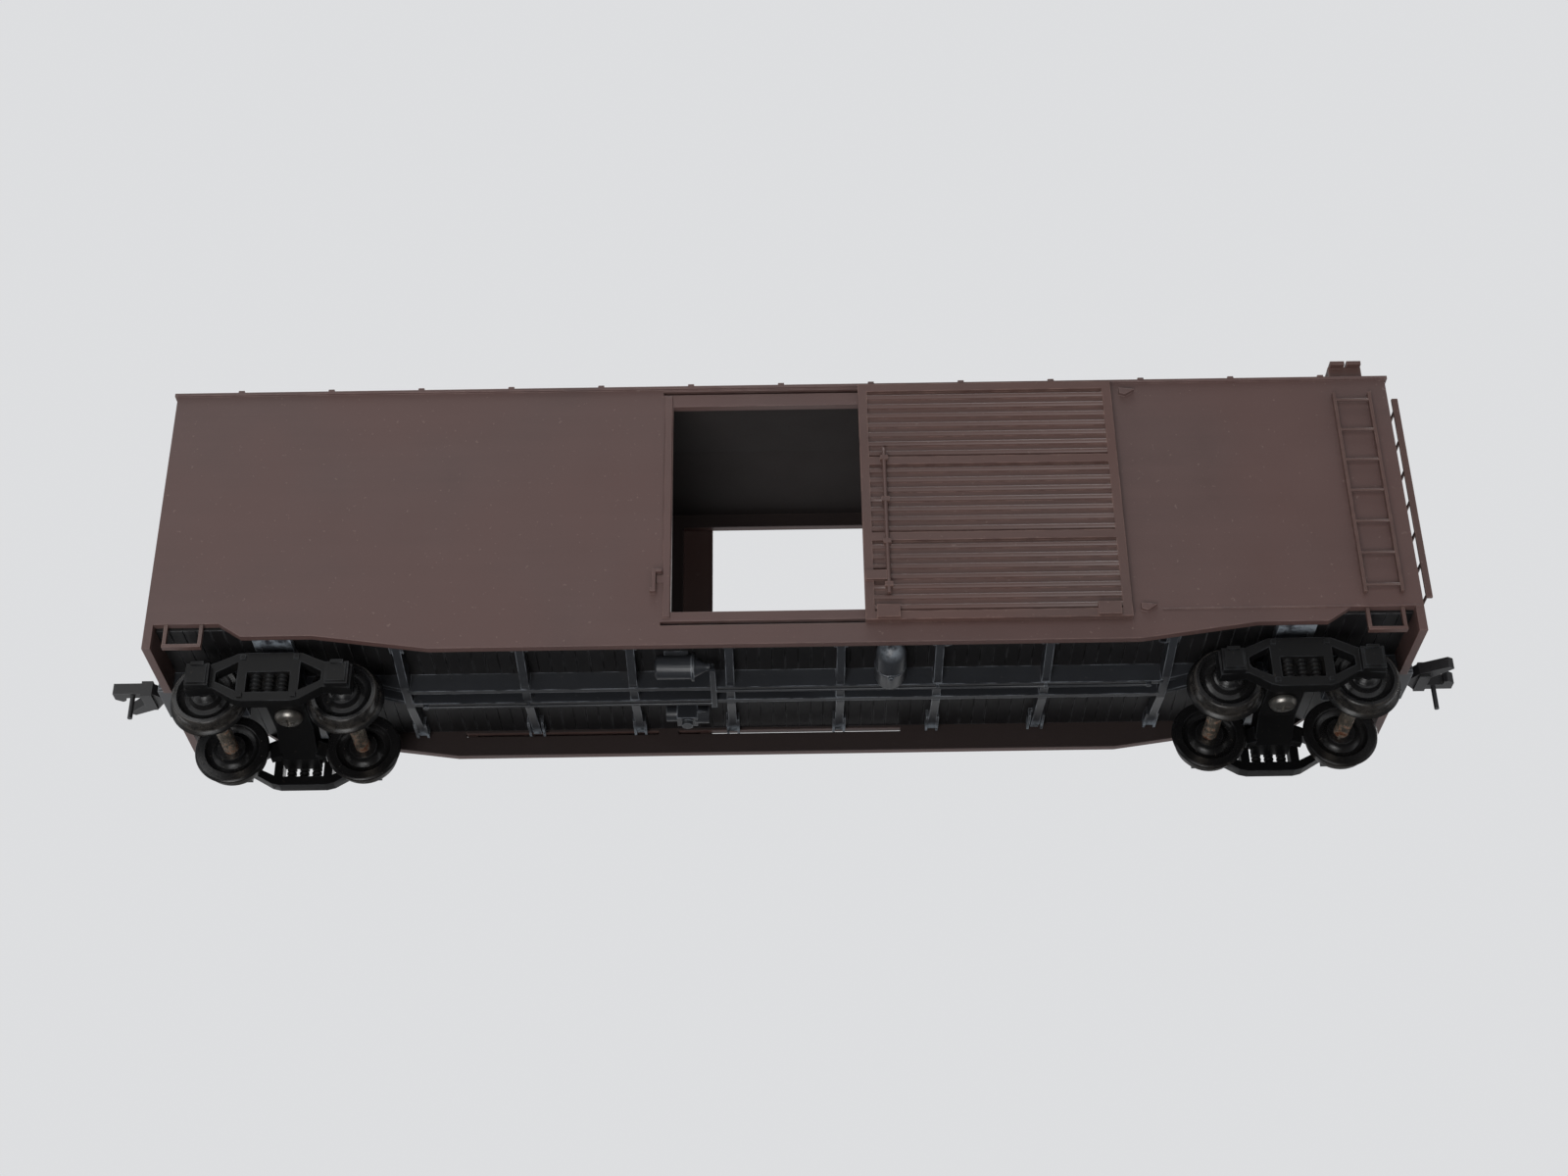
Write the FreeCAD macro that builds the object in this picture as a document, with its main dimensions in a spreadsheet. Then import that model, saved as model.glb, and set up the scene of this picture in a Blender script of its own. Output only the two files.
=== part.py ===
"""A scale model box car, 1:87, for track of 16.5 mm gauge.

Every piece is a solid of its own. X runs along the car, Y across it and Z up. The origin is under the
middle of the car, on the plane that the wheel flanges stand on. The car is the same when it is turned
half a turn about Z, apart from its brake gear and the hand brake on the -X end.
"""

import FreeCAD, Part
import os
import re

import Sketcher

# ---------------------------------------------------------------- driving dimensions, millimetres
SIZES = {
    # wheels and track
    "flange_radius": 5.45,
    "flange_depth": 0.64,
    "wheel_back": 7.27,
    "wheel_width": 2.83,
    "axle_radius": 1.1,
    "axle_recess": 0.7,
    "hub_radius": 2.0,
    "stub_radius": 1.05,
    "axle_tip": 13.75,
    # trucks
    "truck_centre": 71.4,
    "wheel_base": 19.2,
    "frame_inner": 12.4,
    "frame_thick": 2.0,
    "frame_drop": 3.55,
    "frame_rise": 3.95,
    "journal_width": 3.2,
    "journal_proud": 1.1,
    "lid_proud": 0.25,
    "bolster_half": 2.7,
    "bolster_rise": 3.85,
    "bolster_web": 2.3,
    "boss_radius": 3.0,
    "boss_rise": 0.65,
    "bearing_gap": 0.08,
    "shoe_gap": 0.75,
    "swivel_gap": 0.06,
    "screw_radius": 1.09,
    "screw_length": 4.8,
    "screw_head_radius": 2.0,
    "screw_head_height": 1.2,
    "screw_play": 0.08,
    # couplers
    "coupler_height": 9.92,
    "coupler_thick": 1.7,
    "coupler_reach": 7.0,
    "pocket_room": 2.0,
    "pocket_inner": 3.3,
    "pocket_wall": 0.7,
    "pocket_start": 78.0,
    "pocket_proud": 1.0,
    "pocket_roof": 0.54,
    "lid_thick": 0.5,
    "pin_place": 81.0,
    "pin_radius": 1.0,
    "lid_screw_radius": 0.5,
    "lid_screw_play": 0.1,
    "eye_radius": 1.9,
    "eye_play": 0.08,
    "shank_half": 1.0,
    "spring_thick": 0.2,
    "spring_height": 1.2,
    # floor, weight and underframe
    "wheel_room": 1.1,
    "floor_thick": 1.2,
    "floor_play": 0.1,
    "sill_web": 0.9,
    "sill_spread": 2.9,
    "sill_depth": 2.8,
    "sill_shallow": 1.5,
    "bearer_near": 7.9,
    "bearer_mid": 21.8,
    "bearer_wide": 37.3,
    "bearer_far": 54.5,
    "bearer_width": 1.2,
    "bearer_depth": 2.6,
    "bearer_tip": 0.9,
    "bearer_inset": 0.6,
    "shoe_flange": 0.35,
    "shoe_length": 4.4,
    "body_bolster_width": 5.3,
    "weight_length": 126,
    "weight_width": 25,
    "weight_thick": 1.0,
    # brake gear under the floor
    "tank_radius": 2.15,
    "tank_half": 5.6,
    "tank_side": 8.6,
    "tank_drop": 2.75,
    "cylinder_side": 7.4,
    "cylinder_drop": 2.2,
    "rod_radius": 0.22,
    "rod_side": 1.9,
    "rod_drop": 0.55,
    # body shell
    "body_length": 177.2,
    "body_width": 34.6,
    "body_wall": 1.2,
    "roof_edge": 0.5,
    "roof_over": 0.35,
    "ridge_rise": 1.3,
    "sill_deep": 5.2,
    "sill_mid": 2.9,
    "sill_end": 0.8,
    "taper_start": 49.2,
    "taper_end": 65.4,
    "notch_start": 75.2,
    "notch_end": 78.4,
    "apron": 4.6,
    "apron_play": 0.2,
    "ledge_length": 3.0,
    "ledge_width": 2.4,
    "ledge_height": 1.6,
    "rib_pitch": 3.85,
    "rib_first": 1.7,
    "rib_proud": 0.85,
    "rib_radius": 1.6,
    "rib_taper": 2.4,
    "rib_margin": 0.5,
    "seam_pitch": 13.2,
    "seam_width": 0.9,
    "seam_proud": 0.3,
    "panel_proud": 0.2,
    # doors and their tracks
    "door_gap": 31.5,
    "door_rise": 34.5,
    "door_lap": 5.4,
    "door_overlap": 0.05,
    "door_thick": 0.9,
    "door_border": 1.3,
    "door_recess": 0.45,
    "door_ribs": 7,
    "door_play": 0.15,
    "door_travel": 27.0,
    "track_over": 2.4,
    "track_under": 1.8,
    "header": 3.0,
    "track_slot": 0.6,
    "slot_depth": 0.8,
    "slot_play": 0.1,
    "slot_room": 1.4,
    "bridge_gap": 0.45,
    "lug_width": 1.5,
    "lug_inset": 0.1,
    "lug_room": 0.2,
    "jamb_width": 1.0,
    "jamb_proud": 0.3,
    # roof walk, ladders and steps
    "board_plank": 2.1,
    "board_thick": 0.6,
    "board_gap": 0.3,
    "board_over": 1.2,
    "saddle_rise": 0.5,
    "saddle_width": 0.9,
    "ladder_place": 83.2,
    "ladder_width": 5.6,
    "ladder_depth": 0.9,
    "ladder_foot": 1.2,
    "ladder_pitch": 5.2,
    "ladder_end": 1.2,
    "ladder_inset": 1.0,
    "stile_width": 0.45,
    "rung_radius": 0.22,
    "step_width": 5.4,
    "step_drop": 3.6,
    "step_thick": 0.5,
    # hand brake
    "brake_side": 3.6,
    "brake_height": 27.0,
    "brake_wheel_radius": 2.9,
    "brake_rim": 0.28,
    "brake_spokes": 6,
    "brake_stem": 0.43,
    "brake_stem_play": 0.02,
    "brake_step_drop": 9.6,
}

# ---------------------------------------------------------------- places worked out from them
WORKED_OUT = {
    "axle_z": "flange_radius",
    "tread_radius": "flange_radius - flange_depth",
    "wheel_face": "wheel_back + wheel_width",
    "frame_outer": "frame_inner + frame_thick",
    "bolster_top": "axle_z + bolster_rise",
    "bolster_low": "bolster_top - bolster_web",
    "truck_boss_top": "bolster_top + boss_rise",
    "body_boss_low": "truck_boss_top + swivel_gap",
    "pocket_middle": "flange_depth + coupler_height",
    "pocket_low": "pocket_middle - pocket_room / 2",
    "pocket_high": "pocket_middle + pocket_room / 2",
    "pocket_side": "pocket_inner + pocket_wall",
    "pocket_front": "body_end + pocket_proud",
    "floor_low": "max(pocket_high + pocket_roof; 2 * flange_radius + wheel_room)",
    "floor_top": "floor_low + floor_thick",
    "sill_out": "sill_spread / 2 + sill_web",
    "shoe_width": "bearer_width + 2 * shoe_flange",
    "bearer_end": "inner_side - floor_play - bearer_inset",
    "rod_low": "floor_low - sill_depth - rod_drop",
    "body_side": "body_width / 2",
    "body_end": "body_length / 2",
    "inner_side": "body_side - body_wall",
    "inner_end": "body_end - body_wall",
    "body_low": "floor_top - sill_deep",
    "end_face": "body_end + rib_proud",
    "side_height": "door_rise + header",
    "eave": "floor_top + side_height",
    "rib_count": "trunc((side_height - rib_first) / rib_pitch)",
    "seam_count": "trunc(body_length / seam_pitch)",
    "slope_top": "eave + roof_edge",
    "ridge": "slope_top + ridge_rise",
    "seam_top": "ridge + seam_proud",
    "roof_side": "body_side + roof_over",
    "post_x": "-(door_gap / 2 + jamb_width + 0.15)",
    "upper_slot": "floor_top + door_rise + track_over",
    "lower_slot": "floor_top - track_under",
    "door_closed": "-(door_gap / 2 + door_overlap)",
    "door_left": "door_closed + door_travel",
    "door_width": "door_gap + door_lap",
    "door_back": "body_side + door_play",
    "door_front": "door_back + door_thick",
    "slot_start": "-(door_gap / 2 + slot_room + door_overlap)",
    "bridge_start": "door_gap / 2 + bridge_gap",
    "bridge_end": "door_closed + door_width - lug_inset - lug_width - 0.3",
    "slot_end": "door_left + door_width + lug_inset",
    "board_low": "seam_top + saddle_rise",
    "board_width": "3 * board_plank + 2 * board_gap",
    "ladder_low": "floor_top + ladder_foot",
    "ladder_rungs": "trunc((side_height - ladder_foot - 2 * ladder_end) / ladder_pitch) + 1",
    "ladder_height": "(ladder_rungs - 1) * ladder_pitch + 2 * ladder_end",
    "step_top": "floor_top - sill_end",
    "brake_z": "floor_top + brake_height",
}

AXIS = {
    "x": FreeCAD.Rotation(FreeCAD.Vector(0, 1, 0), 90),
    "y": FreeCAD.Rotation(FreeCAD.Vector(1, 0, 0), -90),
    "z": FreeCAD.Rotation(),
}
HALF_TURN = FreeCAD.Rotation(FreeCAD.Vector(0, 0, 1), 180)

doc = FreeCAD.newDocument("box_car")
sheet = doc.addObject("Spreadsheet::Sheet", "sizes")
for row, (alias, value) in enumerate(SIZES.items(), start=1):
    sheet.set(f"A{row}", alias)
    sheet.set(f"B{row}", str(value))
    sheet.setAlias(f"B{row}", alias)
doc.recompute()

pieces = {}


def formula(text):
    """The text as an expression on the sheet's cells, each worked-out word replaced by its formula."""
    def spell(found):
        word = found[0]
        if word in WORKED_OUT:
            return f"({formula(WORKED_OUT[word])})"
        return f"sizes.{word}" if word in SIZES else word
    return re.sub(r"[a-z][a-z_]*", spell, str(text))


def number(text):
    """The text's value now, for loops and for a sketch's first guess."""
    return float(sheet.evalExpression(formula(text)))


def place(thing, at, turn=FreeCAD.Rotation()):
    """Puts an object's own origin at three formulas, turned first."""
    thing.Placement = FreeCAD.Placement(FreeCAD.Vector(), turn)
    for axis, text in zip("xyz", at):
        thing.setExpression(f".Placement.Base.{axis}", formula(text))
    return thing


def block(name, low, size):
    """A box from its lowest corner and its three sizes."""
    box = doc.addObject("Part::Box", name)
    for side, text in zip(("Length", "Width", "Height"), size):
        box.setExpression(side, formula(text))
    return place(box, low)


def centred(name, x, y, low, size):
    """A box that stands on height low, with its middle at x and y."""
    return block(name, (f"{x} - ({size[0]}) / 2", f"{y} - ({size[1]}) / 2", low), size)


def rod(name, foot, radius, length, along="z"):
    """A round bar from the middle of its foot, along +X, +Y or +Z."""
    bar = doc.addObject("Part::Cylinder", name)
    bar.setExpression("Radius", formula(radius))
    bar.setExpression("Height", formula(length))
    return place(bar, foot, AXIS[along])


def cone(name, foot, radius, tip_radius, length, along="z"):
    """A taper from the middle of its foot."""
    taper = doc.addObject("Part::Cone", name)
    taper.setExpression("Radius1", formula(radius))
    taper.setExpression("Radius2", formula(tip_radius))
    taper.setExpression("Height", formula(length))
    return place(taper, foot, AXIS[along])


def ring(name, middle, radius, thickness, along="z"):
    """A torus about an axis."""
    torus = doc.addObject("Part::Torus", name)
    torus.setExpression("Radius1", formula(radius))
    torus.setExpression("Radius2", formula(thickness))
    return place(torus, middle, AXIS[along])


def origin_plane(body, role):
    return next(f for f in body.Origin.OriginFeatures if f.Role == role)


def sketch_of(body, plane, points):
    """A closed outline of straight lines on one of the body's planes, each corner held by two formulas."""
    sketch = body.newObject("Sketcher::SketchObject", body.Name + "_outline")
    sketch.AttachmentSupport = [(origin_plane(body, plane + "_Plane"), "")]
    sketch.MapMode = "FlatFace"
    guess = [FreeCAD.Vector(number(a), number(b), 0) for a, b in points]
    count = len(points)
    for i in range(count):
        sketch.addGeometry(Part.LineSegment(guess[i], guess[(i + 1) % count]), False)
    for i in range(count):
        sketch.addConstraint(Sketcher.Constraint("Coincident", i, 2, (i + 1) % count, 1))
    for i, corner in enumerate(points):
        for kind, text, value in zip(("DistanceX", "DistanceY"), corner, guess[i]):
            held = sketch.addConstraint(Sketcher.Constraint(kind, -1, 1, i, 1, value))
            sketch.setExpression(f"Constraints[{held}]", formula(text))
    return sketch


def plate(name, plane, points, start, depth):
    """An outline with a thickness, from start to start + depth along the plane's own +X, +Y or +Z."""
    body = doc.addObject("PartDesign::Body", name)
    sketch = sketch_of(body, plane, points)
    # the XZ plane faces -Y, so its sketch stands on the far face and the pad comes back
    offset = f"-(({start}) + ({depth}))" if plane == "XZ" else start
    sketch.setExpression(".AttachmentOffset.Base.z", formula(offset))
    pad = body.newObject("PartDesign::Pad", name + "_pad")
    pad.Profile = sketch
    pad.setExpression("Length", formula(depth))
    return body


def mirrored(points):
    """An outline given for positive distances, closed by its mirror image."""
    return points + [(f"-({across})", up) for across, up in reversed(points)]


def spun(name, points, at=("0", "0", "0"), turn=FreeCAD.Rotation(), plane="YZ", axis="H_Axis"):
    """A turned piece, by default about +Y: each corner is its place along the axis and its radius."""
    body = doc.addObject("PartDesign::Body", name)
    sketch = sketch_of(body, plane, points)
    revolved = body.newObject("PartDesign::Revolution", name + "_turned")
    revolved.Profile = sketch
    revolved.ReferenceAxis = (sketch, [axis])
    revolved.Angle = 360
    return place(body, at, turn)


def join(name, things):
    joined = doc.addObject("Part::MultiFuse", name)
    joined.Shapes = things
    joined.Refine = True
    return joined


def group(name, things):
    """Separate solids that belong to one node."""
    compound = doc.addObject("Part::Compound", name)
    compound.Links = things
    return compound


def less(name, base, tools):
    cut = doc.addObject("Part::Cut", name)
    cut.Base = base
    cut.Tool = tools[0] if len(tools) == 1 else join(name + "_tools", tools)
    cut.Refine = True
    return cut


def copy_turned(name, thing):
    """A copy of a piece, turned half a turn about the car's middle."""
    copy = group(name, [thing])
    copy.Placement = FreeCAD.Placement(FreeCAD.Vector(), HALF_TURN)
    return copy


def keep(node, thing):
    """Names a finished piece."""
    thing.Label = node
    pieces[node] = thing
    return thing


# ---------------------------------------------------------------- body shell
def end_rib(name, end, level):
    """One rounded rib across an end sheet, fading into the sheet near both corners."""
    x = f"{end} * (end_face - rib_radius)"
    z = f"floor_top + rib_first + {level} * rib_pitch"
    reach = "(body_side - rib_margin - rib_taper)"
    root = "rib_radius - rib_proud"
    return [
        rod(name, (x, f"-{reach}", z), "rib_radius", f"2 * {reach}", "y"),
        cone(name + "_left", (x, f"-{reach} - rib_taper", z), root, "rib_radius", "rib_taper", "y"),
        cone(name + "_right", (x, reach, z), "rib_radius", root, "rib_taper", "y"),
    ]


def roof_strip(name, start, depth, inner, outer, proud):
    """A strip that follows one roof slope between two distances from the ridge."""
    corners = []
    for y, lift in ((inner, "-roof_edge / 2"), (outer, "-roof_edge / 2"), (outer, proud), (inner, proud)):
        corners.append((y, f"ridge - abs({y}) * ridge_rise / roof_side + ({lift})"))
    return plate(name, "YZ", corners, start, depth)


def roof_trim():
    """Seam caps over the joints of the roof sheets, and a raised panel on each slope between them."""
    made = []
    count = int(number("seam_count"))
    for i in range(count):
        x = f"{i - (count - 1) / 2} * seam_pitch"
        for side, sign in (("left", "-1"), ("right", "1")):
            made.append(roof_strip(f"seam_{i}_{side}", f"{x} - seam_width / 2", "seam_width",
                                   "0", f"{sign} * roof_side", "seam_proud"))
            if i < count - 1:
                made.append(roof_strip(f"panel_{i}_{side}", f"{x} + 1.9", "seam_pitch - 3.8",
                                       f"{sign} * 4.6", f"{sign} * (roof_side - 1.6)", "panel_proud"))
    return made


def side_details():
    """What stands on the -Y side: door post, two door stops, latch hook and the sheet's lower lip."""
    stop_x, hook_x, hook_z = "slot_end + 1.2", "post_x - 1.5", "floor_top + 3.0"
    made = [
        block("door_post", ("post_x", "-body_side - jamb_proud", "lower_slot + 0.9"),
              ("jamb_width", "jamb_proud + 0.2", "upper_slot - lower_slot - 1.6")),
        block("hook_bar", (hook_x, "-body_side - 0.75", hook_z), ("0.5", "0.5", "3.6")),
        block("hook_arm", (hook_x, "-body_side - 0.75", f"{hook_z} + 3.15"), ("1.4", "0.95", "0.45")),
        block("hook_toe", (f"{hook_x} - 0.35", "-body_side - 0.75", hook_z), ("0.85", "0.95", "0.6")),
        block("hook_pad", (f"{hook_x} + 0.6", "-body_side - 0.3", f"{hook_z} + 1.6"), ("0.9", "0.5", "1.2")),
        block("sheet_lip", (f"{stop_x} + 2.9", "-body_side - 0.12", "step_top"),
              ("body_end - slot_end - 4.4", "0.3", "0.25")),
    ]
    for name, low in (("upper_stop", "upper_slot - 1.7"), ("lower_stop", "lower_slot + 0.7")):
        wedge = [(stop_x, f"{low} + 1.2"), (f"{stop_x} + 2.3", f"{low} + 0.9"), (f"{stop_x} + 0.9", low),
                 (stop_x, f"{low} + 0.3")]
        made.append(plate(name, "XZ", wedge, "-body_side - 0.6", "0.8"))
    return made


def side_cuts():
    """The track slots of the -Y side: the upper pair is blind, the lower pair goes through."""
    made = []
    for name, start, end in (("left", "slot_start", "bridge_start"), ("right", "bridge_end", "slot_end")):
        for level, z, depth in (("upper", "upper_slot", "slot_depth"), ("lower", "lower_slot", "body_wall")):
            made.append(block(f"{level}_slot_{name}", (start, "-body_side - 0.5", f"{z} - track_slot / 2"),
                              (f"{end} - ({start})", f"{depth} + 0.6", "track_slot")))
    return made


def sill_cut(name, end):
    """What is taken from under the sides at one end, to leave the tapered side sills."""
    corners = [
        (f"{end} * taper_start", "body_low - 1"),
        (f"{end} * taper_start", "body_low"),
        (f"{end} * taper_end", "floor_top - sill_mid"),
        (f"{end} * notch_start", "floor_top - sill_mid"),
        (f"{end} * notch_end", "step_top"),
        (f"{end} * inner_end", "step_top"),
        (f"{end} * inner_end", "body_low - 1"),
    ]
    return plate(name, "XZ", corners, "-body_side - 1", "body_width + 2")


def body_shell():
    """Sides, ends and roof in one moulding, open underneath, with a ledge in each corner for the floor."""
    walls = block(
        "walls", ("-body_end", "-body_side", "body_low"), ("body_length", "body_width", "eave - body_low")
    )
    roof = plate("roof", "YZ", [("-roof_side", "eave"), ("roof_side", "eave"), ("roof_side", "slope_top"),
                                ("0", "ridge"), ("-roof_side", "slope_top")],
                 "-body_end - roof_over", "body_length + 2 * roof_over")
    outside = [walls, roof] + roof_trim()
    for end_name, end in (("a", "1"), ("b", "-1")):
        for level in range(int(number("rib_count"))):
            outside += end_rib(f"rib_{end_name}_{level}", end, level)
    near = join("near_details", side_details())
    outside += [near, copy_turned("far_details", near)]

    spring = "slope_top - body_wall"
    cuts = [
        plate(
            "hollow", "YZ",
            [
                ("-inner_side", "body_low - 1"), ("inner_side", "body_low - 1"), ("inner_side", spring),
                ("0", "ridge - body_wall"), ("-inner_side", spring),
            ],
            "-inner_end", "2 * inner_end",
        ),
        block(
            "doorway", ("-door_gap / 2", "-body_side - 1", "floor_top"),
            ("door_gap", "body_width + 2", "door_rise"),
        ),
        sill_cut("sill_cut_a", "1"), sill_cut("sill_cut_b", "-1"),
    ]
    reach = "body_wall + rib_proud + 1"
    for name, start in (("a", "inner_end"), ("b", f"-inner_end - ({reach})")):
        cuts.append(block(f"apron_cut_{name}", (start, "-body_side - 1", "body_low - 1"),
                          (reach, "body_width + 2", "sill_deep - apron + 1")))
        cuts.append(
            block(
                f"coupler_cut_{name}", (start, "-pocket_side - apron_play", "body_low - 1"),
                (reach, "2 * (pocket_side + apron_play)", "floor_low + apron_play - body_low + 1"),
            )
        )
    slots = join("near_slots", side_cuts())
    cuts += [slots, copy_turned("far_slots", slots)]
    solid = [less("shell", join("outside", outside), cuts)]
    for name, x in (("a", "inner_end - ledge_length"), ("b", "-inner_end")):
        for side, y in (("near", "-inner_side"), ("far", "inner_side - ledge_width")):
            solid.append(
                block(
                    f"ledge_{name}_{side}", (x, y, "floor_top"),
                    ("ledge_length", "ledge_width", "ledge_height"),
                )
            )
    keep("body_shell", join("body_shell", solid))


# ---------------------------------------------------------------- doors
def door(node):
    """The -Y door, slid open: a bordered sheet with three fields of pressed ribs, hung by four lugs."""
    low, high = "(lower_slot - 0.45)", "(upper_slot + 0.4)"
    fields = 3
    field = f"(({high} - {low} - {fields + 1} * door_border) / {fields})"
    recesses, raised = [], []
    ribs = int(number("door_ribs"))
    for i in range(fields):
        z = f"({low} + door_border + {i} * ({field} + door_border))"
        recesses.append(block(f"field_{i}", ("door_left + door_border", "-door_front - 0.1", z),
                              ("door_width - 2 * door_border", "door_recess + 0.1", field)))
        for j in range(ribs):
            raised.append(
                rod(
                    f"door_rib_{i}_{j}",
                    (
                        "door_left + door_border / 2", "-door_front + door_recess + 0.05",
                        f"{z} + {j + 0.5} * {field} / {ribs}",
                    ),
                    "door_recess", "door_width - door_border", "x",
                )
            )
    bar_x = "(door_left + 3.4)"
    raised.append(rod("door_bar", (bar_x, "-door_front - 0.35", f"{low} + 4"), "0.28", "24"))
    raised.append(
        centred(
            "latch_plate", "door_left + 1.9", "-door_front - 0.15", f"{low} + 6.2", ("3.4", "0.6", "1.5")
        )
    )
    for i in range(4):
        raised.append(
            centred(
                f"bar_clip_{i}", bar_x, "-door_front - 0.2", f"{low} + 5 + {i} * 7", ("1.1", "0.9", "0.7")
            )
        )
    for name, x in (("left", "door_left + 3.2"), ("right", "door_left + door_width - 3.2")):
        raised.append(
            centred(f"roller_{name}", x, "-door_front - 0.2", f"{low} + 0.1", ("3.2", "0.7", "2.0"))
        )
    sheet_body = block(
        "door_sheet", ("door_left", "-door_front", low), ("door_width", "door_thick", f"{high} - {low}")
    )
    solid = join("door_solid", [less("door_fields", sheet_body, recesses)] + raised)
    # the ribs' backs come through the sheet, so what stands behind it is trimmed off
    trim = block(
        "door_trim", ("door_left - 1", "-door_back", f"{low} - 1"),
        ("door_width + 2", "1", f"{high} - {low} + 2"),
    )
    hung = [less("door_panel", solid, [trim])]
    right = "door_left + door_width - lug_inset - lug_width"
    for name, x in (("left", "door_left + lug_room"), ("right", right)):
        for level, z in (("upper", "upper_slot"), ("lower", "lower_slot")):
            hung.append(
                block(
                    f"lug_{name}_{level}", (x, "-door_back", f"{z} - track_slot / 2 + slot_play"),
                    ("lug_width", "door_play + slot_depth - slot_play", "track_slot - 2 * slot_play"),
                )
            )
    return keep(node, join(node, hung))


# ---------------------------------------------------------------- floor, weight, underframe
def floor():
    keep("floor", block("floor", ("-inner_end + floor_play", "-inner_side + floor_play", "floor_low"),
                        ("2 * (inner_end - floor_play)", "2 * (inner_side - floor_play)", "floor_thick")))
    keep("steel_weight", centred("steel_weight", "0", "0", "floor_top",
                                 ("weight_length", "weight_width", "weight_thick")))


def bearer(name, x, shoe):
    """One cross member: deep at the middle, shallow at its tips, with a flanged shoe under each side."""
    tip_low, low = "floor_low - bearer_tip", "floor_low - bearer_depth"
    middle = "sill_out + 0.85"
    made = [plate(name, "YZ", [("-bearer_end", "floor_low"), ("-bearer_end", tip_low), (f"-({middle})", low),
                               (middle, low), ("bearer_end", tip_low), ("bearer_end", "floor_low")],
                  f"{x} - bearer_width / 2", "bearer_width")]
    for side, y in (("near", "-bearer_end"), ("far", "bearer_end - shoe_length")):
        made.append(block(f"{name}_pad_{side}", (f"{x} - ({shoe}) / 2", y, "floor_low - 0.5"),
                          (shoe, "shoe_length", "0.5")))
        for edge, offset in (("in", f"-({shoe}) / 2"), ("out", f"({shoe}) / 2 - shoe_flange")):
            made.append(block(f"{name}_shoe_{side}_{edge}", (f"{x} + {offset}", y, "floor_low - 1.3"),
                              ("shoe_flange", "shoe_length", "1.3")))
    return made


def body_bolster(name, x):
    """The double web over a truck, with its round boss, side bearings and end plates."""
    low, tip_low = "floor_low - 1.5", "floor_low - 1.1"
    made = [rod(f"{name}_boss", (x, "0", "body_boss_low"), "boss_radius + 0.2", "floor_low - body_boss_low")]
    for side, offset in (("in", "-body_bolster_width / 2"), ("out", "body_bolster_width / 2 - sill_web")):
        made.append(
            plate(
                f"{name}_{side}", "YZ",
                [
                    ("-bearer_end", "floor_low"), ("-bearer_end", tip_low), ("-4", low), ("4", low),
                    ("bearer_end", tip_low), ("bearer_end", "floor_low"),
                ],
                f"{x} + {offset}", "sill_web",
            )
        )
    for side, y in (("near", "-bearer_end"), ("far", "bearer_end - shoe_length")):
        made.append(block(f"{name}_end_{side}", (f"{x} - body_bolster_width / 2", y, tip_low),
                          ("body_bolster_width", "shoe_length", "0.9")))
    for side, y in (("near", "-wheel_back"), ("far", "wheel_back")):
        made.append(centred(f"{name}_bearing_{side}", x, y, "floor_low - 1.6",
                            ("body_bolster_width - sill_web", "1.6", "1.6")))
    return made


def coupler_pocket(name, end):
    """The box at one end that holds the coupler, open in front and below, with its pin."""
    length, high = "(pocket_front - pocket_start)", "(floor_low - pocket_low)"
    start, back = "-pocket_front", "-pocket_start - pocket_wall"
    if end == "1":
        start, back = "pocket_start", "pocket_start"
    made = [
        block(
            f"{name}_roof", (start, "-pocket_side", "pocket_high"),
            (length, "2 * pocket_side", "floor_low - pocket_high"),
        ),
        block(
            f"{name}_back", (back, "-pocket_side", "pocket_low"), ("pocket_wall", "2 * pocket_side", high)
        ),
        rod(f"{name}_pin", (f"{end} * pin_place", "0", "pocket_low"), "pin_radius", high),
    ]
    for side, y in (("near", "-pocket_side"), ("far", "pocket_inner")):
        made.append(block(f"{name}_wall_{side}", (start, y, "pocket_low"), (length, "pocket_wall", high)))
    return made


def underframe():
    """Centre sill, cross members, bolsters and coupler pockets, moulded as one open grid."""
    made, bores = [], []
    drop, flare, last = "floor_low - sill_depth", "(body_end - 30)", "pocket_start + pocket_wall / 2"
    for side, y in (("near", "-sill_out"), ("far", "sill_spread / 2")):
        corners = mirrored(
            [
                (last, "floor_low"), (last, "floor_low - sill_shallow"),
                (flare, "floor_low - sill_shallow"), ("bearer_far - 1", drop),
            ]
        )
        made.append(plate(f"centre_sill_{side}", "XZ", corners, y, "sill_web"))
    for end_name, end in (("a", "1"), ("b", "-1")):
        for name, place_x, shoe in (
            ("near", "bearer_near", "shoe_width"), ("mid", "bearer_mid", "shoe_width"),
            ("wide", "bearer_wide", "shoe_width + 0.5"), ("far", "bearer_far", "shoe_width"),
        ):
            made += bearer(f"bearer_{name}_{end_name}", f"{end} * {place_x}", shoe)
        x = f"{end} * truck_centre"
        made += body_bolster(f"bolster_{end_name}", x)
        made += coupler_pocket(f"pocket_{end_name}", end)
        bores.append(
            rod(
                f"screw_bore_{end_name}", (x, "0", "bolster_top"), "screw_radius",
                "floor_low - bolster_top",
            )
        )
        bores.append(
            rod(
                f"lid_bore_{end_name}", (f"{end} * pin_place", "0", "pocket_low - 1"), "lid_screw_radius",
                "pocket_room + 1",
            )
        )
    keep("underframe", less("underframe", join("underframe_solid", made), bores))


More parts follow.
